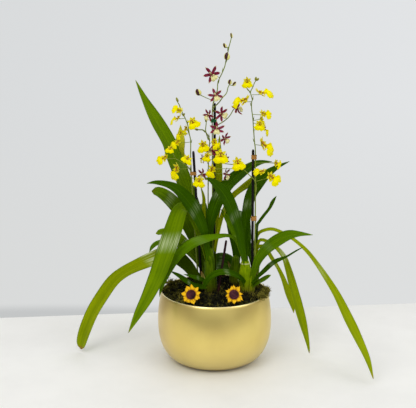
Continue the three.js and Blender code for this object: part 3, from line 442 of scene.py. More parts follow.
STALK = Grain(
    stretch=(900.0, 900.0, 90.0), detail=(2.0, 0.5), patch=(95.0, 3.0, 0.6), share=0.5,
    low=0.4, high=0.66, gloss=0.45, spread=0.12, relief=0.15, strength=0.6, specular=0.5,
)
MOSS = Grain(
    stretch=(700.0, 700.0, 700.0), detail=(3.0, 0.6), patch=(70.0, 4.0, 0.65), share=0.4,
    low=0.36, high=0.66, gloss=0.85, spread=0.1, relief=0.6, strength=0.8, specular=0.2,
)
COAT = Grain(
    stretch=(600.0, 600.0, 150.0), detail=(3.0, 0.6), patch=(80.0, 3.0, 0.6), share=0.3,
    low=0.52, high=0.72, gloss=0.5, spread=0.15, relief=0.12, strength=0.7, specular=0.2,
)


@dataclass(frozen=True)
class GrainFinish(Finish):
    """A skin of one colour that a grain flecks with another: stems, moss, felt and coats."""

    base: Colour
    fleck: Colour
    amount: float
    grain: Grain

    def paint(self, graph: Graph, where: Signal) -> dict[str, Any]:
        """Paint the flecks where the two noises together are high."""
        grain = self.grain
        fine = graph.noise(graph.stretch(where, grain.stretch), 1.0, *grain.detail)
        both = fine * grain.share + graph.noise(where, *grain.patch) * (1.0 - grain.share)
        colour = graph.lay(self.base, (both.step(grain.low, grain.high) * self.amount, self.fleck))
        normal = graph.bump(fine, grain.relief, grain.strength)
        return shader_inputs(colour, grain.gloss + fine * grain.spread, normal, grain.specular)


@dataclass(frozen=True)
class BarkFinish(Finish):
    """Loose bark chips: cells of brown with painted shade in the gaps between them."""

    def paint(self, graph: Graph, where: Signal) -> dict[str, Any]:
        """Paint the chips, and painted shade in the gaps."""
        warp = graph.noise(where, 60.0, 3.0, 0.6)
        chips = graph.add("TexVoronoi", sockets={"Vector": where, "Scale": 150.0})
        brown = (warp.step(0.35, 0.65), (112, 78, 50))
        # Painted shade: near-black in the gaps between the chips.
        colour = graph.lay((58, 38, 24), brown, (chips.step(0.35, 0.75), (18, 12, 8)))
        return shader_inputs(colour, 0.85 + warp * 0.1, graph.bump(chips, 2.0, 0.7))


@dataclass(frozen=True)
class GoldFinish(Finish):
    """Satin champagne gold with fine brush lines round the bowl and soft cloudy wear."""

    metal: Colour = (243, 220, 132)
    dull: Colour = (230, 204, 122)

    def paint(self, graph: Graph, where: Signal) -> dict[str, Any]:
        """Paint the clouds, painted shade on the lower part, a painted reflection on the left side,
        a painted highlight on the lip and painted shade at the foot.
        """
        brush = graph.noise(graph.stretch(where, (14.0, 14.0, 1300.0)))
        cloud = graph.noise(where, 22.0, 3.0, 0.5)
        side, _, up = graph.parts(where)
        lip = up.step(0.1112, 0.1126)
        colour = graph.lay(
            self.metal,
            (cloud.step(0.3, 0.75) * 0.5 + brush * 0.12, self.dull),
            # Painted shade: the lower part duller and greyer, near the table.
            ((1.0 - up.step(0.008, 0.06)) * 0.55, (208, 196, 146)),
            # Painted reflection: the left side darker and pinker.
            ((0.0 - side).step(0.055, 0.088) * 0.45, (226, 198, 152)),
            # Painted highlight: a pale line along the rolled lip.
            (lip * 0.6, (255, 243, 190)),
            # Painted shade: a dark band at the foot, where the bowl meets the table.
            ((1.0 - up.step(0.001, 0.006)) * 0.5, (140, 108, 56)),
        )
        rough = 0.3 + brush * 0.05 + cloud * 0.05 - lip * 0.1
        return shader_inputs(colour, rough, graph.bump(brush, 0.012, 0.4)) | {"Metallic": 1.0}


@dataclass(frozen=True)
class ClothFinish(Finish):
    """A cloth petal: woven grain, a warm base, and painted shade in its creases and along its
    edges.
    """

    inner: Colour
    outer: Colour

    def paint(self, graph: Graph, where: Signal) -> dict[str, Any]:
        """Paint the base, then painted shade in the creases along the petal and at its edges."""
        along, across, _ = graph.blade()
        weave = graph.noise(where, 1500.0)
        crease = graph.noise(graph.vector(across * 10.0, along * 1.5))
        base = along + graph.noise(where, 190.0) * 0.4 - 0.2
        colour = graph.lay(
            self.inner,
            (base.step(0.12, 0.5), self.outer),
            # Painted shade in the creases.
            ((1.0 - crease).step(0.5, 0.8) * 0.35, self.inner),
            # Painted shade along the edges.
            (abs(across - 0.5).step(0.36, 0.5) * 0.6, self.inner),
        )
        normal = graph.bump(weave * 0.4 + crease * 0.6, 0.3, 0.8)
        return shader_inputs(colour, 0.8 + weave * 0.1, normal, 0.3)


@dataclass(frozen=True)
class TableFinish(Finish):
    """A pale, softly uneven table top."""

    def paint(self, graph: Graph, where: Signal) -> dict[str, Any]:
        """Paint two near whites."""
        soft = graph.noise(where, 6.0, 4.0, 0.6)
        colour = graph.lay((249, 249, 246), (soft.step(0.3, 0.7), (243, 243, 240)))
        return shader_inputs(colour, 0.6, graph.bump(soft, 4.0, 0.5))


class Tone(Enum):
    """The greens that the leaves come in."""

    DEEP = LeafFinish(
        "leaf_deep", (20, 50, 0), (60, 100, 0), (92, 116, 6), 0.95,
        light=(96, 138, 2), underside=(50, 86, 0),
    )
    TALL = LeafFinish(
        "leaf_tall", (72, 110, 0), (124, 160, 2), (124, 144, 8), 0.95, painted_glint_share=0.1
    )
    MID = LeafFinish(
        "leaf_mid", (48, 92, 0), (104, 152, 2), (124, 148, 8), 0.95,
        painted_glint_share=0.12, rib_share=0.6,
    )
    MOTTLED = LeafFinish(
        "leaf_mottled", (22, 52, 0), (84, 116, 0), (90, 104, 6), 0.94, painted_glint_at=0.8, mottle=1.0
    )
    FRESH = LeafFinish(
        "leaf_fresh", (80, 114, 0), (136, 166, 2), (134, 144, 20), 0.96, 0.3,
        painted_glint_at=0.535, painted_glint_share=1.0, light=(134, 166, 8),
    )
    BROAD = LeafFinish(
        "leaf_broad", (122, 140, 0), (168, 184, 2), (144, 102, 36), 0.972, 0.34,
        painted_glint_at=0.34, painted_glint_share=0.7, light=(150, 170, 8), underside=(110, 128, 8),
    )
    # The long leaf's darker foot is painted shade, where the leaves in front shadow it.
    LONG = replace(
        BROAD, name="leaf_long", foot=(34, 58, 0), foot_share=0.94, foot_start=0.2, foot_end=0.36
    )
    LIME = LeafFinish(
        "leaf_lime", (124, 140, 0), (168, 182, 6), (160, 150, 20), 0.96, 0.42,
        light=(172, 190, 30), underside=(134, 152, 10),
    )
    OLIVE = LeafFinish(
        "leaf_olive", (136, 154, 0), (192, 200, 8), (170, 166, 24), 0.94, 0.42,
        light=(178, 190, 24), underside=(126, 142, 8),
    )
    PALE = LeafFinish(
        "leaf_pale", (104, 132, 0), (162, 176, 12), (214, 208, 44), 0.62, 0.45, mottle=0.7
    )


GOLD = GoldFinish("brushed_gold")
BARK = BarkFinish("bark_chips")
DRY_SHEATH = LeafFinish("dry_sheath", (150, 132, 60), (214, 198, 118), (112, 84, 44), 0.7, 0.6)
SHOOT_SKIN = ShootFinish("shoot_skin", (50, 80, 0), (102, 132, 8), (100, 84, 26))
BULB_SKIN = ShootFinish("bulb_skin", (98, 132, 0), (152, 178, 8), (120, 112, 26), 0.158)
YELLOW_TEPAL = TepalFinish(
    "yellow_tepal", (246, 234, 4), (128, 30, 6), (236, 228, 20), bar_share=0.75, tip_start=0.85
)
MAROON_TEPAL = TepalFinish(
    "maroon_tepal", (134, 6, 56), (84, 2, 32), (236, 224, 120),
    bar_share=0.7, tip_start=0.8, patches=0.03,
)
YELLOW_LIP = LipFinish("yellow_lip", (255, 246, 0), (252, 226, 0), (124, 18, 4), 0.3)
CREAM_LIP = LipFinish("cream_lip", (246, 242, 184), (236, 228, 130), (124, 14, 44), 0.26)
YELLOW_COLUMN = GrainFinish("yellow_column", (206, 130, 18), (124, 20, 6), 0.95, STALK)
MAROON_COLUMN = GrainFinish("maroon_column", (232, 222, 160), (120, 14, 44), 0.9, STALK)
STEM_SKIN = GrainFinish("stem_skin", (134, 154, 30), (102, 96, 30), 0.5, STALK)
YELLOW_BUD = GrainFinish("yellow_bud", (160, 162, 26), (110, 96, 16), 0.7, STALK)
MAROON_BUD = GrainFinish("maroon_bud", (58, 2, 26), (92, 30, 40), 0.6, STALK)
BUD_SEAM = GrainFinish("bud_seam", (246, 240, 140), (214, 208, 70), 0.6, STALK)
# Near-black moss: dark fibres, and painted shade on the mound between the fibres, in the hollow
# behind the crowns and on the spill that hangs in shade.
MOSS_DARK_AND_SHADE = GrainFinish("moss_dark_and_shade", (5, 6, 2), (36, 35, 10), 1.0, MOSS)
MOSS_OLIVE = GrainFinish("moss_olive", (38, 37, 8), (104, 100, 30), 1.0, MOSS)
MOSS_BRIGHT = GrainFinish("moss_bright", (88, 82, 22), (164, 154, 60), 1.0, MOSS)
# The felt's paler purple-grey flecks are painted highlights on its fibres.
DISC_FELT = GrainFinish("maroon_felt", (22, 4, 10), (88, 42, 52), 1.0, MOSS)
STAKE_COAT = GrainFinish("stake_coat", (16, 12, 14), (48, 38, 36), 0.6, replace(COAT, gloss=0.45))
PROP_COAT = GrainFinish("prop_coat", (40, 8, 14), (84, 36, 30), 0.6, COAT)
WIRE = GrainFinish("pick_wire", (64, 84, 40), (90, 110, 60), 0.6, COAT)
CLIP = GrainFinish("green_clip", (30, 112, 62), (76, 150, 92), 0.6, replace(COAT, gloss=0.4))
TAPE = GrainFinish(
    "tan_tape", (186, 132, 66), (132, 84, 40), 0.6,
    replace(COAT, gloss=0.6, stretch=(900.0, 900.0, 225.0)),
)
PETAL_CLOTH = ClothFinish("golden_cloth", (176, 84, 2), (252, 198, 6))


# ---- Curves and closed meshes.


class Curve:
    """A smooth curve through points, which can be walked by its length."""

    SAMPLES = 160

    def __init__(self, points: Sequence[Sequence[float]]) -> None:
        """Keep the points and measure the curve.

        Args:
            points: the points that it passes through, in millimetres.
        """
        self.points = [Vector(point) for point in points]
        steps = [self.at(i / self.SAMPLES) for i in range(self.SAMPLES + 1)]
        self.reach = [0.0]
        for before, after in zip(steps, steps[1:]):
            self.reach.append(self.reach[-1] + (after - before).length)
        self.length = self.reach[-1]

    def at(self, t: float) -> Vector:
        """Return the point at a place on the curve.

        Args:
            t: the place, from 0 to 1, with the points evenly spread.

        Returns:
            The point.
        """
        last = len(self.points) - 1
        place = min(max(t, 0.0), 1.0) * last
        index = min(int(place), last - 1)
        w = place - index
        start, end = self.points[index], self.points[index + 1]
        before = self.points[index - 1] if index else 2 * start - end
        after = self.points[index + 2] if index + 2 <= last else 2 * end - start
        leave, arrive = (end - before) / 2, (after - start) / 2
        w2, w3 = w * w, w * w * w
        return (
            start * (2 * w3 - 3 * w2 + 1)
            + leave * (w3 - 2 * w2 + w)
            + end * (3 * w2 - 2 * w3)
            + arrive * (w3 - w2)
        )

    def slope(self, t: float) -> Vector:
        """Return the direction of the curve at t."""
        step = 1e-3
        return (self.at(min(t + step, 1.0)) - self.at(max(t - step, 0.0))).normalized()

    def spaced(self, share: float) -> float:
        """Return the t that lies a share of the length along."""
        target = share * self.length
        high = max(bisect.bisect_left(self.reach, target), 1)
        before = self.reach[high - 1]
        span = self.reach[high] - before
        return (high - 1 + ((target - before) / span if span else 1)) / self.SAMPLES


def tube_rings(sides: int, rings: int) -> tuple[Mesh, Marks]:
    """Start a closed upright tube, split evenly along its length.

    Args:
        sides: how many corners it has round.
        rings: how many bands it has along.

    Returns:
        The mesh, and for each vertex how far along it is and its angle from -pi to pi.
    """
    bm = bmesh.new()
    bmesh.ops.create_cone(
        bm, cap_ends=True, cap_tris=False, segments=sides, radius1=1.0, radius2=1.0, depth=1.0
    )
    upright = [edge for edge in bm.edges if abs(edge.verts[0].co.z - edge.verts[1].co.z) > 0.5]
    bmesh.ops.subdivide_edges(bm, edges=upright, cuts=rings - 1, use_grid_fill=True)
    marks = {v: (round(v.co.z + 0.5, 6), math.atan2(v.co.y, v.co.x)) for v in bm.verts}
    return bm, marks


def closed(bm: Mesh) -> Mesh:
    """Merge a mesh's doubles, turn its faces outwards and shade it smooth.

    Args:
        bm: the mesh, which is changed.

    Returns:
        The same mesh.
    """
    bmesh.ops.remove_doubles(bm, verts=bm.verts, dist=1e-7)
    bmesh.ops.recalc_face_normals(bm, faces=bm.faces)
    if bm.calc_volume(signed=True) < 0:
        bmesh.ops.reverse_faces(bm, faces=bm.faces)
    for face in bm.faces:
        face.smooth = True
    return bm


def spun(corners: Sequence[tuple[float, float]], turns: int) -> Mesh:
    """Spin a section about the vertical axis.

    Args:
        corners: its corners, each a radius and a height.
        turns: how many steps a full turn takes.

    Returns:
        The mesh.
    """
    bm = bmesh.new()
    verts = [bm.verts.new((radius * MM, 0, z * MM)) for radius, z in corners]
    section = [*verts, *(bm.edges.new(pair) for pair in zip(verts, verts[1:]))]
    bmesh.ops.spin(
        bm, geom=section, cent=(0, 0, 0), axis=(0, 0, 1), angle=TURN, steps=turns, use_merge=True
    )
    return bm


@dataclass
class Sheet:
    """A thin closed blade round a middle surface, split alike on both faces."""

    surface: Surface
    thickness: float
    across: int
    along: int

    def build(self) -> Mesh:
        """Make the blade.

        Returns:
            A mesh whose UV map gives along and across, with 2 added across underneath.
        """
        bm, marks = tube_rings(4 * (self.across // 2), self.along)
        layer = bm.loops.layers.uv.new(UV_LAYER)
        for face in bm.faces:
            below = 0 if face.calc_center_median().y > 0 else UNDERSIDE
            for loop in face.loops:
                t, angle = marks[loop.vert]
                loop[layer].uv = (t, 1 - abs(angle) / math.pi + below)
        self.split_ends(bm, marks)
        for vert, (t, angle) in marks.items():
            s = 1 - 2 * abs(angle) / math.pi
            along = self.surface(min(t + 1e-3, 1.0), s) - self.surface(max(t - 1e-3, 0.0), s)
            across = self.surface(t, s + 1e-2) - self.surface(t, s - 1e-2)
            half = self.thickness / 2 * math.sqrt(max(0.0, 1 - s**4))
            normal = across.cross(along).normalized() * (half if angle > 0 else -half)
            vert.co = (self.surface(t, s) + normal) * MM
        return closed(bm)

    @staticmethod
    def split_ends(bm: Mesh, marks: Marks) -> None:
        """Cut both end faces into a strip, from each upper corner to the one below it.

        Args:
            bm: the mesh, which is changed.
            marks: its corners' places along and round.
        """
        ends = {vert: mark for vert, mark in marks.items() if mark[0] in (0, 1)}
        lower = {(t, round(-angle, 3)): v for v, (t, angle) in ends.items() if angle < -1e-3}
        for vert, (t, angle) in ends.items():
            other = lower.get((t, round(angle, 3)))
            if other:
                caps = [f for f in vert.link_faces if other in f.verts and len(f.verts) > 4]
                for cap in caps[:1]:
                    bmesh.utils.face_split(cap, vert, other)


@dataclass
class Rope:
    """A round closed tube along a curve, with a radius that changes along it."""

    curve: Curve
    radius: Callable[[float], float]
    sides: int
    rings: int

    def build(self) -> Mesh:
        """Make the tube with a section that doesn't twist.

        Returns:
            The mesh.
        """
        bm, marks = tube_rings(self.sides, self.rings)
        frames = []
        side = Vector((1.0, 0.0, 0.0))
        for k in range(self.rings + 1):
            t = self.curve.spaced(k / self.rings)
            slope = self.curve.slope(t)
            if abs(slope.dot(side)) > 0.95:
                side = Vector((0.0, 1.0, 0.0))
            side = (side - slope * side.dot(slope)).normalized()
            frames.append((self.curve.at(t), side, slope.cross(side)))
        for vert, (t, angle) in marks.items():
            centre, side, other = frames[round(t * self.rings)]
            off = side * math.cos(angle) + other * math.sin(angle)
            vert.co = (centre + off * self.radius(t)) * MM
        return closed(bm)


def egg(width: float, length: float, seams: float = 0.0) -> Mesh:
    """Make an egg that stands on its foot.

    Args:
        width: its widest diameter.
        length: its height.
        seams: how deep its three seams are, as a share of its radius.

    Returns:
        The mesh, with its foot at the origin.
    """
    bm = bmesh.new()
    bmesh.ops.create_uvsphere(bm, u_segments=12, v_segments=8, radius=0.5)
    for vert in bm.verts:
        x, y, z = vert.co
        share = z + 0.5
        swell = width * (1.08 - 0.28 * share)
        swell *= 1 - seams * (0.5 + 0.5 * math.cos(3 * math.atan2(y, x)))
        vert.co = Vector((x * swell, y * swell, share * length)) * MM
    return closed(bm)


class Piece:
    """The visible piece of one solid, gathered from meshes that each have a finish."""

    def __init__(self, node: str, slot: str) -> None:
        """Start an empty piece.

        Args:
            node: the solid that it stands for.
            slot: the record's material slot; it is not used.
        """
        self.nodes = [node]
        self.slot = slot
        self.bm = bmesh.new()
        self.bm.loops.layers.uv.new(UV_LAYER)
        self.finishes: list[Finish] = []

    def put(
        self, part: Mesh, finish: Finish, matrix: Optional[Matrix] = None, keep: bool = False
    ) -> None:
        """Add a mesh to the piece.

        Args:
            part: the mesh, in metres.
            finish: its finish.
            matrix: where it goes, or None where it already is in place.
            keep: True if the mesh is used again.
        """
        if finish not in self.finishes:
            self.finishes.append(finish)
        holder = bpy.data.meshes.new("holder")
        part.to_mesh(holder)
        if matrix is not None:
            holder.transform(matrix)
        first = len(self.bm.faces)
        self.bm.from_mesh(holder)
        self.bm.faces.ensure_lookup_table()
        for face in self.bm.faces[first:]:
            face.material_index = self.finishes.index(finish)
        bpy.data.meshes.remove(holder)
        if not keep:
            part.free()

    def stand(self) -> None:
        """Make the object, with its materials and body, and hide its solid."""
        name = f"{self.nodes[0]}_dressed"
        mesh = bpy.data.meshes.new(name)
        self.bm.to_mesh(mesh)
        self.bm.free()
        for finish in self.finishes:
            mesh.materials.append(finish.material())
        thing = bpy.data.objects.new(name, mesh)
        bpy.context.scene.collection.objects.link(thing)
        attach(thing, BODY)
        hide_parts(*self.nodes)
        LOG.info("%s: %d faces for %s", name, len(mesh.polygons), ", ".join(self.nodes))


# ---- The bowl, its mix and its moss.


@dataclass(frozen=True)
class Bowl:
    """The spun metal bowl: a rounded belly, a drawn-in neck and a thin rolled rim."""

    height: float = 113
    belly: float = 90
    belly_height: float = 66
    rim: float = 84
    base: float = 46
    floor: float = 5
    wall: float = 2.2
    roundness: float = 2.35
    turns: int = 144

    def radius(self, z: float) -> float:
        """Return the outer radius at a height.

        Args:
            z: the height.

        Returns:
            The radius.
        """
        if z > self.belly_height:
            rise = (z - self.belly_height) / (self.height - self.belly_height)
            return self.belly - (self.belly - self.rim) * rise**2
        fall = 1 - (1 - z / self.belly_height) ** self.roundness
        return self.base + (self.belly - self.base) * fall ** (1 / self.roundness)

    def profile(self) -> list[tuple[float, float]]:
        """Lay out the section.

        Returns:
            Its corners, from the foot's middle over the rim to the floor's middle.
        """
        bead = self.wall / 2
        top = self.height - bead
        outer = [self.belly_height * (k / 20) ** 2 for k in range(1, 21)]
        outer += [lerp(self.belly_height, top, k / 14) for k in range(1, 15)]
        corners = [(0.0, 0.0), (self.base * 0.5, 0.0), (self.base * 0.98, 0.0)]
        corners += [(self.radius(z), z) for z in outer]
        middle = self.radius(self.height) - bead
        arc = [around(math.pi * k / 8, bead) for k in range(1, 8)]
        corners += [(middle + point.x, top + point.y) for point in arc]
        inner = [lerp(top, 12, k / 16) for k in range(17)]
        corners += [(self.radius(z) - self.wall, z) for z in inner]
        low = self.floor + self.wall
        return corners + [(60.0, 9.0), (self.base * 0.7, low), (0.0, low)]

    def build(self) -> None:
        """Spin the profile into the bowl."""
        piece = Piece("bowl", "bowl")
        piece.put(closed(spun(self.profile(), self.turns)), GOLD)
        piece.stand()


@dataclass(frozen=True)
class MossBed:
    """The moss mound, with clumps of fibres over it and some that spill over the rim."""

    bowl: Bowl
    bottom: float = 98
    edge: float = 109.5
    crown: float = 116
    gap: float = 0.5
    bump: float = 1.3
    clumps: int = 600
    curls: int = 150
    seed: int = 7
    shaded: int = 84
    spills: tuple[tuple[int, int], ...] = (
        (-22, 15), (-10, 15), (2, 14), (180, 11), (152, 12), (112, 12), (84, 12),
    )

    def height(self, radius: float, angle: float) -> float:
        """Return the mound's height.

        Args:
            radius: how far from the middle.
            angle: the angle round it.

        Returns:
            The height.
        """
        reach = radius / self.bowl.rim
        tufts = math.sin(5 * angle + 0.13 * radius) + math.sin(9 * angle - 0.21 * radius + 1.7)
        dome = lerp(self.crown, self.edge, min(reach, 1.0) ** 1.6)
        return dome + self.bump * tufts * min(1, 0.3 + reach)

    def mound(self) -> Mesh:
        """Spin and roughen the mound that the fibres grow from.

        Returns:
            The mesh.
        """
        rim = self.bowl.radius(self.bowl.height) - self.bowl.wall - self.gap
        corners = [(0.0, self.bottom), (rim * 0.6, self.bottom), (rim, self.bottom)]
        corners += [(rim * k / 26, self.edge) for k in range(26, -1, -1)]
        bm = spun(corners, turns=96)
        for vert in bm.verts:
            if vert.co.z > (self.bottom + 1) * MM:
                x, y = vert.co.x / MM, vert.co.y / MM
                lump = noise.noise(Vector((x, y, 3.0)) / 5.5) * 1.6
                lump += noise.noise(Vector((x, y, 9.0)) / 2.2) * 0.8
                level = self.height(math.hypot(x, y), math.atan2(y, x))
                vert.co.z = (level - 1.6 + lump) * MM
        return closed(bm)

    def clump(self, rng: random.Random, strands: int, length: float) -> Mesh:
        """Make one clump of bent, tapered fibres that leave a common foot.

        Args:
            rng: the seeded source of chance.
            strands: how many fibres it has.
            length: how long a fibre is.

        Returns:
            The clump, with its foot at the origin and +Z up.
        """
        whole = bmesh.new()
        holder = bpy.data.meshes.new("strand")
        for _ in range(strands):
            heading = around(rng.uniform(0, TURN))
            lean = rng.uniform(0.35, 1.25)
            curl = rng.uniform(-0.9, 1.2)
            size = length * rng.uniform(0.6, 1.1)
            points = [Vector((rng.uniform(-1.2, 1.2), rng.uniform(-1.2, 1.2), -1.0))]
            tilt = lean * 0.6
            for _ in range(3):
                way = heading * math.sin(tilt) + Vector((0, 0, math.cos(tilt)))
                points.append(points[-1] + way * size / 3)
                tilt += lean * 0.5 + curl * 0.35
                heading.rotate(Matrix.Rotation(rng.uniform(-0.5, 0.5), 3, "Z"))
            strand = Rope(Curve(points), lambda t: 0.52 * (1 - 0.75 * t), sides=3, rings=4).build()
            strand.to_mesh(holder)
            strand.free()
            whole.from_mesh(holder)
        bpy.data.meshes.remove(holder)
        return whole

    @staticmethod
    def curl(rng: random.Random, size: float) -> Mesh:
        """Make one fibre that curls round on itself.

        Args:
            rng: the seeded source of chance.
            size: how wide the curl is.

        Returns:
            The fibre, with its foot near the origin.
        """
        place = Matrix.Rotation(rng.uniform(0, TURN), 3, "Z")
        place = place @ Matrix.Rotation(rng.uniform(0.3, 1.3), 3, "X")
        reach = size / 2
        points = []
        for k in range(8):
            spot = around(-math.pi / 2 + 0.82 * k, reach * (1 - 0.07 * k), 0.25 * k)
            points.append(place @ (spot + Vector((0, reach, 0))))
        return Rope(Curve(points), lambda t: 0.5 * (1 - 0.6 * t), sides=3, rings=12).build()

    def spots(self, rng: random.Random) -> list[tuple[Vector, float, Finish]]:
        """Choose where the clumps stand.

        Args:
            rng: the seeded source of chance.

        Returns:
            For each clump its foot, how far it leans out and its finish.
        """
        found = []
        rim = self.bowl.rim - self.bowl.wall - 2.5
        for k in range(self.clumps):
            radius = rim * math.sqrt((k + 0.5) / self.clumps)
            angle = k * GOLDEN_ANGLE + rng.uniform(-0.1, 0.1)
            foot = around(angle, radius, self.height(radius, angle) - 1.2)
            x, y, _ = foot
            # Random patches of tone, lighter toward the sides and darker at the front middle; the
            # dip round (18, 34) is painted shade in the hollow behind the crowns.
            tone = noise.noise(Vector((x, y, 0)) / 16) + rng.uniform(-0.35, 0.35)
            tone += 0.5 * smooth(x, 35, 75) + 0.3 * smooth(-x, 45, 80)
            tone -= 0.2 * smooth(-y, 20, 70) * (1 - smooth(abs(x), 30, 60))
            tone -= 0.9 * (1 - smooth(math.hypot(x - 18, y - 34), 18, 36))
            finish = MOSS_DARK_AND_SHADE if tone < 0.05 else MOSS_OLIVE if tone < 0.5 else MOSS_BRIGHT
            found.append((foot, smooth(radius, rim - 9, rim) * 0.5, finish))
        return found

    @staticmethod
    def leant(foot: Vector, lean: float) -> Matrix:
        """Return the place at a foot, leant away from the bowl's axis."""
        outward = Vector((foot.x, foot.y, 0)).normalized()
        tip = Matrix.Rotation(lean, 4, Vector((-outward.y, outward.x, 0)))
        return Matrix.Translation(foot * MM) @ tip

    def build(self) -> None:
        """Make the mound, plant its clumps and curls, and hang what spills."""
        rng = random.Random(self.seed)
        piece = Piece("moss", "moss")
        # The mound is near-black: painted shade between the fibres.
        piece.put(self.mound(), MOSS_DARK_AND_SHADE)
        kinds = [self.clump(rng, strands=8, length=7.5) for _ in range(6)]
        for foot, lean, finish in self.spots(rng):
            turn = Matrix.Rotation(rng.uniform(0, TURN), 4, "Z")
            scale = Matrix.Scale(rng.uniform(0.75, 1.15), 4)
            matrix = self.leant(foot, lean) @ turn @ scale
            piece.put(rng.choice(kinds), finish, matrix, keep=True)
        for _ in range(self.curls):
            radius = (self.bowl.rim - 6) * math.sqrt(rng.random())
            angle = rng.uniform(-math.pi, math.pi)
            foot = around(angle, radius, self.height(radius, angle) - 0.5)
            bright = rng.random() < 0.25 + 0.6 * smooth(abs(foot.x), 30, 75)
            curl = self.curl(rng, rng.uniform(3.5, 7))
            finish = MOSS_BRIGHT if bright else MOSS_OLIVE
            piece.put(curl, finish, Matrix.Translation(foot * MM))
        self.spill(piece, rng)
        for kind in kinds:
            kind.free()
        for vert in piece.bm.verts:
            self.clear(vert)
        piece.stand()

    def clear(self, vert: bmesh.types.BMVert) -> None:
        """Move a corner out of the bowl's wall, to its nearest side or above the rim.

        Args:
            vert: the corner.
        """
        x, y, z = vert.co / MM
        radius = math.hypot(x, y)
        top = self.bowl.height + self.gap
        outer = self.bowl.radius(z) + self.gap if self.bottom + 2 <= z <= top else 0.0
        inner = outer - self.bowl.wall - 2 * self.gap
        if not inner < radius < outer:
            return
        if top - z < min(radius - inner, outer - radius):
            vert.co.z = top * MM
        else:
            reach = (inner if radius - inner <= outer - radius else outer) / radius
            vert.co.x, vert.co.y = x * reach * MM, y * reach * MM

    def spill(self, piece: Piece, rng: random.Random) -> None:
        """Hang clumps of fibres over the rim where moss spills out.

        Args:
            piece: the moss, which is added to.
            rng: the seeded source of chance.
        """
        rim = self.bowl.rim
        for degrees, size in self.spills:
            for _ in range(size * 3):
                angle = math.radians(degrees) + rng.gauss(0, 0.42) * size / rim
                radius = rim + rng.uniform(-9, 1.0)
                foot = around(angle, radius, self.bowl.height + rng.uniform(-0.5, 2.5))
                lean = rng.uniform(0.2, 1.0) + 0.9 * smooth(radius, rim - 4, rim + 1)
                place = self.leant(foot, lean)
                clump = self.clump(rng, strands=5, length=size * 0.45)
                # Painted shade: the spill that hangs in shade takes the near-black moss.
                finish = MOSS_DARK_AND_SHADE
                if degrees != self.shaded:
                    finish = rng.choice([MOSS_OLIVE, MOSS_OLIVE, MOSS_BRIGHT])
                piece.put(clump, finish, place)
                if rng.random() < 0.6:
                    piece.put(self.curl(rng, rng.uniform(4, 8)), MOSS_BRIGHT, place)


def dress_mix() -> None:
    """Give the hidden bark mix its chips."""
    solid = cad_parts["bark_mix"]
    solid.data.materials.clear()
    solid.data.materials.append(BARK.material())
    LOG.info("bark_mix: the solid itself, with bark chips")


# ---- Shoots and leaves.


@dataclass(frozen=True)
class Wrap:
    """A sheath that wraps a shoot from one height to another and ends in a point."""

    low: float
    high: float
    heading: float
    spread: float


@dataclass(frozen=True)
class Strap:
    """A keeled strap along a path of [x, y, z, width], facing a changing way."""

    path: Path
    facing: Sequence[Triple]
    thickness: float = 1.1
    base_fold: float = 0.6
    tip_fold: float = 0.2
    ripple: float = 0.5
    across: int = 12
    step: float = 4.5
    keel: float = 0.03

    def look(self, t: float) -> Vector:
        """Return the way that the upper face looks.

        Args:
            t: the place along the path, from 0 to 1.

        Returns:
            The way.
        """
        ways = [Vector(way) for way in self.facing]
        place = t * (len(ways) - 1)
        index = min(int(place), max(len(ways) - 2, 0))
        return ways[index].lerp(ways[min(index + 1, len(ways) - 1)], place - index)

    def build(self) -> Mesh:
        """Make the strap as a thin closed blade.

        Returns:
            The mesh.
        """
        spine = Curve([point[:3] for point in self.path])
        widths = Curve([(point[3], 0, 0) for point in self.path])
        bands = max(8, round(spine.length / self.step))
        phase = self.path[0][0] * 0.7 + self.path[-1][2] * 0.3
        blunt = max(self.path[-1][3], 3.0) * 0.7
        flat, edge = math.sqrt(self.keel), math.sqrt(1 + self.keel)

        @functools.cache
        def station(share: float) -> tuple[Vector, Vector, Vector, float, float]:
            """Return the centre, side, normal, half width and fold at a share of the length."""
            t = spine.spaced(share)
            slope = spine.slope(t)
            normal = self.look(t)
            normal = (normal - slope * normal.dot(slope)).normalized()
            left = min((1 - share) * spine.length / blunt, 1)
            half = max(widths.at(t).x, 0.6) / 2 * (0.15 + 0.85 * math.sqrt(1 - (1 - left) ** 2))
            fold = lerp(self.base_fold, self.tip_fold, min(1, 3 * t))
            return spine.at(t), normal.cross(slope), normal, half, fold

        def surface(share: float, s: float) -> Vector:
            """Return the leaf's middle surface."""
            centre, side, normal, half, fold = station(round(share, 6))
            keel = (math.sqrt(s * s + self.keel) - flat) / (edge - flat)
            arch = 0.07 * (1 - s * s) * smooth(share, 0.15, 0.4)
            wave = math.sin(share * bands * 0.33 + phase + (1.9 if s > 0 else 0))
            wave *= self.ripple * abs(s) ** 3 * smooth(half, 2, 8)
            up = half * (keel * math.sin(fold) - arch) + wave
            return centre + side * (half * s * math.cos(fold)) + normal * up

        return Sheet(surface, self.thickness, self.across, bands).build()


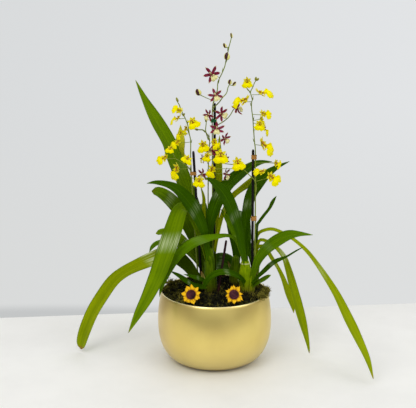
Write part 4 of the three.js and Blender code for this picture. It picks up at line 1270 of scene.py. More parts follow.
@dataclass(frozen=True)
class Shoot:
    """A pseudobulb or a fan of leaf bases, lofted through [x, y, z, width, depth] rings."""

    node: str
    finish: ShootFinish
    rings: tuple[tuple[float, float, float, float, float], ...]
    wraps: tuple[Wrap, ...]
    sheaths: tuple[Strap, ...] = ()
    pleats: int = 7
    sides: int = 32
    bands: int = 40
    lift: float = 0.9

    def section(self, z: float) -> tuple[Vector, float, float]:
        """Return the section at a height.

        Args:
            z: the height.

        Returns:
            Its centre and its two half sizes.
        """
        z = min(max(z, self.rings[0][2]), self.rings[-1][2])
        lower, upper = next(pair for pair in zip(self.rings, self.rings[1:]) if z <= pair[1][2])
        share = (z - lower[2]) / (upper[2] - lower[2])
        share = 0.35 * share + 0.65 * smooth(share, 0, 1)
        x, y, _, width, depth = (lerp(a, b, share) for a, b in zip(lower, upper))
        return Vector((x, y, z)), width / 2, depth / 2

    def body(self) -> Mesh:
        """Loft the shoot with shallow pleats and a rounded top.

        Returns:
            The mesh.
        """
        bm, marks = tube_rings(self.sides, self.bands)
        for vert, (t, angle) in marks.items():
            z = lerp(self.rings[0][2], self.rings[-1][2], t)
            centre, wide, deep = self.section(z)
            close = math.sqrt(max(1 - smooth(t, 0.93, 1.0) ** 2, 0.02))
            close *= 1 + 0.025 * math.cos(self.pleats * angle + 0.6 * math.sin(z / 17))
            reach = Vector((wide * math.cos(angle), deep * math.sin(angle), 0))
            vert.co = (centre + reach * close) * MM
        return closed(bm)

    def wrap(self, spec: Wrap) -> Mesh:
        """Make one sheath that hugs the shoot and comes to a point.

        Args:
            spec: the sheath's sizes.

        Returns:
            The mesh.
        """

        def surface(t: float, s: float) -> Vector:
            """Return the sheath's middle surface."""
            centre, wide, deep = self.section(lerp(spec.low, spec.high, t))
            spread = math.radians(spec.spread) * math.sqrt(max(1 - t**2.2, 0.0))
            angle = math.radians(spec.heading) + s * (spread + 0.02)
            off = self.lift + 1.6 * smooth(t, 0.7, 1.0) + 0.5 * abs(s) ** 3 * smooth(t, 0.1, 0.5)
            reach = ((wide + off) * math.cos(angle), (deep + off) * math.sin(angle), 0)
            return centre + Vector(reach)

        return Sheet(surface, thickness=0.7, across=14, along=26).build()

    def build(self) -> None:
        """Make the shoot with its sheaths."""
        piece = Piece(self.node, "shoot")
        piece.put(self.body(), self.finish)
        for spec in self.wraps:
            piece.put(self.wrap(spec), self.finish)
        for sheath in self.sheaths:
            piece.put(sheath.build(), DRY_SHEATH)
        piece.stand()


@dataclass(frozen=True)
class StrapLeaf:
    """One leaf: its node, its green, its path and the way it faces."""

    node: str
    tone: Tone
    path: Path
    facing: Sequence[Triple]

    def build(self) -> None:
        """Make the leaf in place of its solid."""
        piece = Piece(self.node, "leaf")
        piece.put(Strap(self.path, self.facing).build(), self.tone.value)
        piece.stand()


# ---- Stakes and the ties round them.


@dataclass(frozen=True)
class Stake:
    """A slim round stake with slight joints, a rounded top and a foot at a height."""

    node: str
    through: Triple
    top: Triple
    low: float = 18
    radius: float = 2.0
    finish: Finish = STAKE_COAT
    joint_step: float = 61

    def at(self, z: float) -> Vector:
        """Return the point on the stake's axis at a height."""
        share = (z - self.through[2]) / (self.top[2] - self.through[2])
        return Vector(self.through).lerp(Vector(self.top), share)

    def build(self) -> None:
        """Make the stake in place of its solid."""
        foot, top = self.at(self.low), Vector(self.top)
        length = (top - foot).length

        def radius(t: float) -> float:
            """Return the radius at a share of the length."""
            away = abs((t * length + 17) % self.joint_step - self.joint_step / 2)
            knuckle = 0.22 * (1 - smooth(away, 0, 2.2))
            end = min(t, 1 - t) * length
            return (self.radius + knuckle) * (0.55 + 0.45 * smooth(end, 0, 1.6))

        piece = Piece(self.node, "stake")
        line = Curve([foot, (foot + top) / 2, top])
        piece.put(Rope(line, radius, sides=16, rings=120).build(), self.finish)
        piece.stand()


@dataclass(frozen=True)
class Tie:
    """A sleeve of tape or a clip round a stake and the stem beside it."""

    node: str
    slot: str
    finish: Finish
    z: float
    height: float
    wall: float
    stake_radius: float = 2.2
    stem_radius: float = 1.5

    def build(self, stake: Stake, stem: Curve) -> None:
        """Make the sleeve in place of its solid.

        Args:
            stake: the stake that it holds.
            stem: the stem beside the stake.
        """
        post = stake.at(self.z)
        near = min((stem.at(k / 400) for k in range(401)), key=lambda point: abs(point.z - self.z))
        across = Vector((near.x - post.x, near.y - post.y, 0))
        axis = (Vector(stake.top) - post).normalized()
        side = axis.cross(across.normalized()).normalized()
        heading = side.cross(axis)
        bm, marks = tube_rings(sides=32, rings=8)
        caps = [face for face in bm.faces if len(face.verts) > 4]
        bmesh.ops.delete(bm, geom=caps, context="FACES_ONLY")
        for vert, (t, angle) in marks.items():
            near_stem = smooth(math.cos(angle), -0.2, 0.6)
            reach = lerp(self.stake_radius, self.stem_radius, near_stem) + self.wall
            reach += 0.12 * math.sin(6 * angle + 9 * t)
            centre = heading * (across.length * smooth(math.cos(angle), -0.4, 0.4))
            rise = axis * ((t - 0.5) * self.height + 0.25 * math.sin(2 * angle))
            off = heading * math.cos(angle) + side * math.sin(angle)
            vert.co = (post + centre + off * reach + rise) * MM
        bmesh.ops.recalc_face_normals(bm, faces=bm.faces)
        bmesh.ops.solidify(bm, geom=bm.faces[:], thickness=self.wall * MM)
        piece = Piece(self.node, self.slot)
        piece.put(closed(bm), self.finish)
        piece.stand()


# ---- Flower sprays.


@dataclass(frozen=True)
class Bloom:
    """One flower: its throat, its turns about the vertical and its face, and its size."""

    at: Triple
    turn: float
    hang: float
    size: float
    twist: float = 0
    nod: float = 0
    via: Optional[Triple] = None

    def matrix(self) -> Matrix:
        """Return the frame with X across the bloom, Y up its face and Z out of it."""
        place = Matrix.Translation(Vector(self.at) * MM) @ turned(self.turn, "Z")
        place = place @ turned(self.hang, "Y") @ turned(90, "X") @ turned(self.twist, "Y")
        return place @ turned(-self.nod, "X") @ Matrix.Diagonal((*[self.size] * 3, 1))


@dataclass(frozen=True)
class Bud:
    """One bud: its middle, its width and length, and the way it points."""

    at: Triple
    width: float
    length: float
    lean: Triple


@dataclass(frozen=True)
class BloomKind:
    """A kind of flower: tepals round a throat, a lip below and a column in front."""

    tepals: tuple[float, ...]
    length: float
    width: float
    lip_length: float
    lip_half: float
    lip_lean: float
    notch: float
    frill: float
    fan: float
    tepal_finish: Finish
    lip_finish: Finish
    column_finish: Finish
    bud_finish: Finish
    seam_finish: Finish

    def tepal(self, degrees: float, rng: random.Random) -> Mesh:
        """Make one tepal.

        Args:
            degrees: the way it points, from straight up.
            rng: the seeded source of chance, for its bend.

        Returns:
            The tepal.
        """
        side = around(-math.radians(degrees + rng.uniform(-4, 4)))
        out = Vector((-side.y, side.x, 0))
        curl = rng.uniform(-1.4, 1.0)
        phase = rng.uniform(0, 6.28)
        length = self.length * rng.uniform(0.94, 1.05)

        def surface(t: float, s: float) -> Vector:
            """Return the tepal's middle surface."""
            half = 0.4 + 0.75 * math.sin(math.pi * min(t * 0.9 + 0.05, 1.0)) ** 0.8
            half *= self.width / 2 * (1 - 0.9 * smooth(t, 0.72, 1.02))
            rise = 1.3 * t - 1.04 * math.sin(math.pi * t) + curl * t * t
            rise += 0.4 * abs(s) * math.sin(t * 8.5 + phase) - 0.25 * half * (1 - s * s)
            return out * lerp(0.5, length, t) + side * (s * half) + Vector((0, 0, rise))

        return Sheet(surface, thickness=0.45, across=6, along=9).build()

    def lip(self, rng: random.Random) -> Mesh:
        """Make the lip: a narrow claw that opens into a notched, frilled skirt.

        Args:
            rng: the seeded source of chance, for its frill.

        Returns:
            The lip.
        """
        phase = rng.uniform(0, 6.28)
        claw = 2.2
        skirt = self.lip_length - claw

        def surface(t: float, s: float) -> Vector:
            """Return the lip's middle surface."""
            degrees = s * self.fan
            angle = math.radians(degrees)
            reach = skirt * (1 - self.notch * math.exp(-((degrees / 11) ** 2)))
            reach *= lerp(1.0, self.lip_half / skirt, smooth(abs(degrees), 8, 66))
            reach *= 1 - 0.42 * smooth(abs(degrees), 0.72 * self.fan, self.fan + 2)
            away = t**1.15 * reach * (1 + 0.035 * math.sin(angle * 13 + phase))
            x = s * (1.4 * (1 - t) ** 2) + away * math.sin(angle)
            y = -claw - away * math.cos(angle) + 1.2 * (1 - t) ** 3
            lean = self.lip_lean * smooth(t, 0, 0.75) - 2.2 * smooth(t, 0.55, 1.1)
            droop = -1.9 * (x / self.lip_half) ** 2
            frill = self.frill * t**3 * math.sin(angle * 9 + phase)
            return Vector((x, y, lean + droop + frill + 0.4))

        return Sheet(surface, thickness=0.5, across=22, along=11).build()

    def ear(self, hand: int) -> Mesh:
        """Make one of the two small side lobes at the lip's claw.

        Args:
            hand: 1 or -1, for the side that it is on.

        Returns:
            The lobe.
        """

        def surface(t: float, s: float) -> Vector:
            """Return the lobe's middle surface."""
            half = self.lip_half * 0.13 * math.sin(math.pi * (0.15 + 0.8 * t))
            reach = self.lip_half * 0.36 * t
            rise = 0.9 + 0.5 * t - 0.2 * s
            return Vector((hand * (0.8 + reach), -1.7 - 0.35 * reach + s * half, rise))

        return Sheet(surface, thickness=0.45, across=4, along=5).build()

    def build(self, rng: random.Random) -> list[tuple[Mesh, Finish]]:
        """Make one flower's parts about its throat.

        Args:
            rng: the seeded source of chance.

        Returns:
            The parts, each with its finish.
        """
        ways = [sign * way for way in self.tepals for sign in (1, -1) if way or sign > 0]
        parts = [(self.tepal(way, rng), self.tepal_finish) for way in ways]
        parts.append((self.lip(rng), self.lip_finish))
        parts += [(self.ear(hand), self.lip_finish) for hand in (-1, 1)]
        column = egg(width=2.2, length=3.6)
        column.transform(Matrix.Translation((0, 0.4 * MM, 0)) @ turned(-62, "X"))
        parts.append((column, self.column_finish))
        for x, y, z, size in WARTS:
            wart = bmesh.new()
            bmesh.ops.create_icosphere(wart, subdivisions=1, radius=size / 2 * MM)
            wart.transform(Matrix.Translation(Vector((x, y, z)) * MM))
            parts.append((closed(wart), self.column_finish))
        return parts


WARTS = ((0, -1.6, 1.3, 1.7), (0.9, -2.3, 1.4, 1.1), (-0.9, -2.3, 1.4, 1.1), (0, -3.0, 1.5, 1.0))
YELLOW = BloomKind(
    tepals=(0, 55, 107), length=8.8, width=3.9,
    lip_length=14.0, lip_half=12.6, lip_lean=6.0, notch=0.2, frill=0.8, fan=80.0,
    tepal_finish=YELLOW_TEPAL, lip_finish=YELLOW_LIP, column_finish=YELLOW_COLUMN,
    bud_finish=YELLOW_BUD, seam_finish=YELLOW_BUD,
)
MAROON = BloomKind(
    tepals=(0, 66, 120), length=11.4, width=3.2,
    lip_length=9.0, lip_half=6.0, lip_lean=3.4, notch=0.14, frill=0.7, fan=66.0,
    tepal_finish=MAROON_TEPAL, lip_finish=CREAM_LIP, column_finish=MAROON_COLUMN,
    bud_finish=MAROON_BUD, seam_finish=BUD_SEAM,
)


@dataclass(frozen=True)
class Spray:
    """A flower spray: stems, blooms on bent stalks, and buds."""

    node: str
    kind: BloomKind
    stems: Sequence[Sequence[Triple]]
    blooms: Sequence[Bloom]
    buds: Sequence[Bud]
    stem_radius: float = 1.1
    stalk_radius: float = 0.55

    @functools.cached_property
    def curves(self) -> list[Curve]:
        """Return the stems' curves, the main one first."""
        return [Curve(points) for points in self.stems]

    def root(self, target: Vector) -> Vector:
        """Return the stem point nearest to a target and lower than it."""
        samples = [curve.at(k / 300) for curve in self.curves for k in range(301)]
        return min((p for p in samples if p.z < target.z - 1), key=lambda p: (p - target).length)

    def stem(self, curve: Curve, foot: float) -> Mesh:
        """Make one stem with small joints.

        Args:
            curve: its line.
            foot: how thick its foot is, as a share of the radius.

        Returns:
            The mesh.
        """

        def radius(t: float) -> float:
            """Return the radius at a share of the length."""
            away = abs((t * curve.length + 11) % 43 - 21.5)
            return self.stem_radius * lerp(foot, 0.62, t) * (1 + 0.28 * (1 - smooth(away, 0, 1.8)))

        rings = max(10, round(curve.length / 3.2))
        return Rope(curve, radius, sides=8, rings=rings).build()

    def bract(self, curve: Curve, t: float, hand: float) -> Mesh:
        """Make the small dry bract that clasps the stem at a joint.

        Args:
            curve: the stem's line.
            t: the place along it.
            hand: 1 or -1, for the side that it is on.

        Returns:
            The mesh.
        """
        centre, slope = curve.at(t), curve.slope(t)
        side = slope.cross(Vector((0, 1, 0))).normalized() * hand
        other = slope.cross(side)

        def surface(along: float, s: float) -> Vector:
            """Return the bract's middle surface."""
            turn = s * 1.5 * (1 - along**1.5)
            off = side * math.cos(turn) + other * math.sin(turn)
            return centre + slope * (along * 6.5) + off * (1.35 + 1.1 * along**2)

        return Sheet(surface, thickness=0.4, across=4, along=4).build()

    def stalk(self, bloom: Bloom) -> Mesh:
        """Make the thin stalk that comes in behind a bloom.

        Args:
            bloom: the bloom.

        Returns:
            The mesh.
        """
        out = (bloom.matrix().to_3x3() @ Vector((0, 0, 1))).normalized()
        throat = Vector(bloom.at)
        root = self.root(Vector(bloom.via or bloom.at))
        bend = Vector(bloom.via) if bloom.via else root.lerp(throat, 0.4)
        behind = throat - out * (0.3 * (root - throat).length)
        points = []
        for t in (k / 6 for k in range(7)):
            u = 1 - t
            near = root * u**3 + bend * (3 * u * u * t)
            points.append(near + behind * (3 * u * t * t) + throat * t**3)

        def radius(t: float) -> float:
            """Return the radius, which swells under the bloom."""
            return self.stalk_radius * (0.85 + 0.6 * smooth(t, 0.6, 0.95))

        return Rope(Curve(points), radius, sides=8, rings=14).build()

    def bud(self, bud: Bud, piece: Piece) -> None:
        """Add a bud on its neck.

        Args:
            bud: the bud.
            piece: the spray, which is added to.
        """
        lean = Vector(bud.lean).normalized()
        foot = Vector(bud.at) - lean * (bud.length / 2)
        root = self.root(Vector(bud.at))
        neck = Curve([root, root.lerp(foot, 0.55) - lean * 0.4, foot + lean * 0.6])
        rope = Rope(neck, lambda t: self.stalk_radius * (0.8 + 0.5 * t), sides=8, rings=8)
        piece.put(rope.build(), STEM_SKIN)
        turn = Vector((0, 0, 1)).rotation_difference(lean).to_matrix().to_4x4()
        place = Matrix.Translation(foot * MM) @ turn
        piece.put(egg(bud.width, bud.length, seams=0.16), self.kind.bud_finish, place)
        for k in range(3):
            piece.put(self.seam(bud, TURN * (k + 0.5) / 3), self.kind.seam_finish, place)

    @staticmethod
    def seam(bud: Bud, heading: float) -> Mesh:
        """Make one pale strip up a bud, where two of its petals meet.

        Args:
            bud: the bud.
            heading: the strip's angle round it.

        Returns:
            The mesh, with the bud's foot at the origin.
        """

        def surface(t: float, s: float) -> Vector:
            """Return the strip's middle surface."""
            share = 0.05 + 0.97 * t
            swell = math.sqrt(max(1 - (2 * share - 1) ** 2, 0.0)) * (1.08 - 0.28 * share)
            angle = heading + s * 0.6 * (1 - t**2) + 0.3 * t
            return around(angle, bud.width / 2 * swell * 1.02 + 0.1, share * bud.length)

        return Sheet(surface, thickness=0.3, across=4, along=6).build()

    def build(self, seed: int) -> None:
        """Make the spray in place of its solid.

        Args:
            seed: the seed of its flowers' small differences.
        """
        rng = random.Random(seed)
        piece = Piece(self.node, "maroon_spray" if self.kind is MAROON else "yellow_spray")
        for index, curve in enumerate(self.curves):
            piece.put(self.stem(curve, 0.8 if index else 1.12), STEM_SKIN)
        for k in range(2, 8):
            piece.put(self.bract(self.curves[0], k / 9, 1 if k % 2 else -1), STEM_SKIN)
        variants = [self.kind.build(rng) for _ in range(4)]
        for bloom in self.blooms:
            piece.put(self.stalk(bloom), STEM_SKIN)
            for part, finish in rng.choice(variants):
                piece.put(part, finish, bloom.matrix(), keep=True)
        for part, _ in sum(variants, []):
            part.free()
        for bud in self.buds:
            self.bud(bud, piece)
        piece.stand()


# ---- Sunflower picks.


@dataclass(frozen=True)
class SunflowerPick:
    """A small cloth sunflower on a wire: two rounds of petals and a domed felt disc."""

    node: str
    at: Triple
    turn: float
    pointed: bool
    radius: float = 15.5
    disc: float = 7.4
    petals: int = 11
    tilt: float = 32

    def matrix(self) -> Matrix:
        """Return the frame with Z out of the flower's face."""
        place = Matrix.Translation(Vector(self.at) * MM)
        return place @ turned(self.turn, "Z") @ turned(90 - self.tilt, "X")

    def petal(self, index: int, layer: int, rng: random.Random) -> Mesh:
        """Make one petal.

        Args:
            index: its number in its round.
            layer: 0 for the round behind, 1 for the one in front.
            rng: the seeded source of chance, for its bend.

        Returns:
            The petal.
        """
        out = around(TURN * (index + 0.5 * layer) / self.petals + rng.uniform(-0.12, 0.12))
        side = Vector((-out.y, out.x, 0))
        reach = self.radius * (rng.uniform(0.82, 1.03) if layer else rng.uniform(0.78, 0.94))
        lift = rng.uniform(-1.8, 1.8) + 0.7 * layer
        skew = rng.uniform(-0.22, 0.22)
        wide = rng.uniform(2.7, 3.7)
        start = self.disc - 2.4
        close, taper = (0.95, 0.5) if self.pointed else (0.75, 0.7)

        def surface(t: float, s: float) -> Vector:
            """Return the petal's middle surface."""
            half = wide * (0.5 + 0.55 * math.sin(math.pi * min(t * 0.85 + 0.08, 1.0)))
            half *= 1 - close * smooth(t, taper, 1.03)
            rise = 0.25 + 0.35 * layer + lift * t * t + 0.45 * s * s - 0.5 * t**3
            bend = side * (s * half + skew * reach * t * t)
            return out * lerp(start, reach, t) + bend + Vector((0, 0, rise))

        return Sheet(surface, thickness=0.7, across=6, along=8).build()

    def felt(self) -> Mesh:
        """Make the domed, studded disc.

        Returns:
            The mesh.
        """
        bm, marks = tube_rings(sides=40, rings=14)
        for vert, (t, angle) in marks.items():
            reach = self.disc * (1 - 0.99 * smooth(t, 0.3, 1.0)) * (0.96 + 0.04 * smooth(t, 0, 0.2))
            rise = 1.0 + 1.1 * smooth(t, 0, 0.35) + 0.5 * math.sin(math.pi * smooth(t, 0.35, 1.0))
            spot = around(angle, reach, 1.0)
            rise += 0.35 * abs(noise.noise(spot * 1.4)) * smooth(t, 0.1, 0.4)
            vert.co = Vector((spot.x, spot.y, rise)) * MM
        return closed(bm)

    def build(self, seed: int) -> None:
        """Make the petals with their wire, and the disc.

        Args:
            seed: the seed of the petals' small differences.
        """
        rng = random.Random(seed)
        face = Piece(f"{self.node}_petals", "petal")
        for layer in (0, 1):
            for index in range(self.petals):
                face.put(self.petal(index, layer, rng), PETAL_CLOTH, self.matrix())
        x, y, z = self.at
        wire = Curve([(x, y + 5, 99), (x, y + 3.5, 108), (x, y + 0.6, z)])
        face.put(Rope(wire, lambda t: 0.85, sides=8, rings=12).build(), WIRE)
        face.stand()
        disc = Piece(f"{self.node}_disc", "disc")
        disc.put(self.felt(), DISC_FELT, self.matrix())
        disc.stand()


# ---- Floor, lights and camera.


@dataclass(frozen=True)
class Studio:
    """A pale table, soft light and the camera."""

    camera_at: Triple = (-0.0104, -1.5, 0.605)
    pitch: float = 13.2
    focal: float = 992.0
    frame_width: float = 416.0
    sensor: float = 36.0
    table_back: float = 0.226
    table_front: float = -0.44
    table_half: float = 1.1
    table_turn: float = 6.1

    @staticmethod
    def stand(name: str, data: Any) -> bpy.types.Object:
        """Put an object with its data in the scene."""
        thing = bpy.data.objects.new(name, data)
        bpy.context.scene.collection.objects.link(thing)
        return thing

    def floor(self) -> None:
        """Lay the pale table top."""
        bm = bmesh.new()
        bmesh.ops.create_grid(bm, x_segments=1, y_segments=1, size=1.0)
        for vert in bm.verts:
            y = self.table_back if vert.co.y > 0 else self.table_front
            vert.co = Vector((vert.co.x * self.table_half, y, 0.0))
        pivot = (0, self.table_back, 0)
        bmesh.ops.rotate(bm, verts=bm.verts, cent=pivot, matrix=turned(self.table_turn, "Z"))
        mesh = bpy.data.meshes.new("table_top")
        bm.to_mesh(mesh)
        bm.free()
        mesh.materials.append(TableFinish("table_cloth").material())
        top = self.stand("table_top", mesh)

    def light(self, name: str, at: Triple, size: float, power: float, colour: Triple) -> None:
        """Hang one square soft light that looks at the planting.

        Args:
            name: its name.
            at: where it hangs, in metres.
            size: its side.
            power: its power in watts.
            colour: its colour.
        """
        data = bpy.data.lights.new(name, "AREA")
        data.size, data.energy, data.color = size, power, colour
        lamp = self.stand(name, data)
        lamp.location = at
        aim = Vector((0, 0, 0.2)) - Vector(at)
        lamp.rotation_euler = aim.to_track_quat("-Z", "Y").to_euler()

    def room(self) -> None:
        """Light the scene from a pale room: bright above, with a darker end in front."""
        world = bpy.data.worlds.new("pale_room")
        graph = Graph(world)
        across, depth, up = graph.parts(graph.add("TexCoord", out="Generated"))
        front = (0.0 - depth).step(-0.05, 0.6) * (1.0 - abs(up + 0.165).step(0.13, 0.22))
        colour = graph.lay(
            (214, 216, 217),
            ((across * 0.5 + 0.5).step(0.25, 0.75), (229, 231, 233)),
            ((0.0 - up).step(0.1, 0.3) * 0.5, (217, 218, 216)),
            # Painted shade: a darker line along the foot of the wall behind the table.
            ((0.0 - up - across * 0.045).step(0.326, 0.336) * 0.5, (170, 173, 174)),
            (up.step(0.25, 0.85), (244, 244, 244)),
            (abs(across).step(0.45, 0.85) * 0.8, (130, 122, 114)),
            (front * (0.95 - across.step(0.1, 0.6) * 0.4), (40, 36, 30)),
        )
        light = graph.add("Background", sockets={"Color": colour, "Strength": 1.0})
        graph.add("OutputWorld", sockets={"Surface": light})
        bpy.context.scene.world = world

    def build(self) -> None:
        """Set the world, the lights, the floor and the camera."""
        scene = bpy.context.scene
        scene.view_settings.view_transform = "Standard"
        self.room()
        self.light("key_front_left", (-0.7, -1.3, 1.5), 0.9, 9.0, (1.0, 0.99, 0.96))
        self.light("fill_right", (1.3, -0.7, 1.1), 1.0, 4.5, (0.98, 0.99, 1.0))
        self.floor()
        data = bpy.data.cameras.new("camera")
        data.sensor_width = self.sensor
        data.lens = self.focal * self.sensor / self.frame_width
        camera = self.stand("camera", data)
        camera.location = self.camera_at
        camera.rotation_euler = (math.radians(90 - self.pitch), 0.0, 0.0)
        scene.camera = camera


# ---- The tables.

SHOOTS = [
    Shoot(
        "shoot_left", SHOOT_SKIN,
        (
            (-7, -5, 84, 12, 14), (-7, -5, 104, 17, 21), (-7, -5, 130, 18, 24),
            (-7, -4, 160, 16, 24), (-8, -3, 186, 12, 19),
        ),
        (
            Wrap(100, 168, -125, 62), Wrap(100, 150, -40, 58), Wrap(102, 176, 30, 70),
            Wrap(102, 170, 165, 70),
        ),
        (Strap(((-7, -5, 102, 8), (-15, -14, 126, 9), (-21, -19, 150, 4)), ((0.5, -1, 0.4),)),),
    ),
    Shoot(
        "shoot_right", BULB_SKIN,
        (
            (54, -3, 84, 11, 8), (54, -3, 106, 17, 12), (51, -3, 124, 22, 14),
            (49, -3, 142, 22, 13), (48, -2, 156, 15, 11), (48, -2, 166, 9, 8),
        ),
        (Wrap(102, 146, -8, 75), Wrap(102, 132, 178, 60)),
        (Strap(((55, -4, 106, 8), (63, -5, 128, 9), (66, -5, 150, 4)), ((-0.4, -1, 0.3),)),),
        5,
    ),
    Shoot(
        "shoot_back_left", SHOOT_SKIN,
        (
            (-15, 33, 84, 11, 11), (-15, 33, 106, 16, 16), (-14, 33, 136, 17, 16),
            (-12, 32, 170, 12, 13),
        ),
        (Wrap(102, 160, 0, 70), Wrap(102, 150, 180, 70)),
    ),
    Shoot(
        "shoot_back_mid", SHOOT_SKIN,
        ((34, 32, 84, 11, 11), (34, 32, 106, 17, 15), (34, 31, 132, 18, 15), (34, 30, 162, 11, 12)),
        (Wrap(102, 150, 10, 70), Wrap(102, 142, 190, 70)),
        (Strap(((34, 36, 106, 9), (28, 44, 128, 8), (22, 49, 146, 3)), ((0.3, -0.6, 1),)),),
    ),
    Shoot(
        "shoot_back_right", SHOOT_SKIN,
        ((64, 23, 84, 8, 8), (64, 23, 106, 12, 12), (64, 23, 134, 13, 13), (64, 22, 164, 9, 10)),
        (Wrap(102, 150, 0, 70), Wrap(102, 142, 180, 70)),
    ),
]

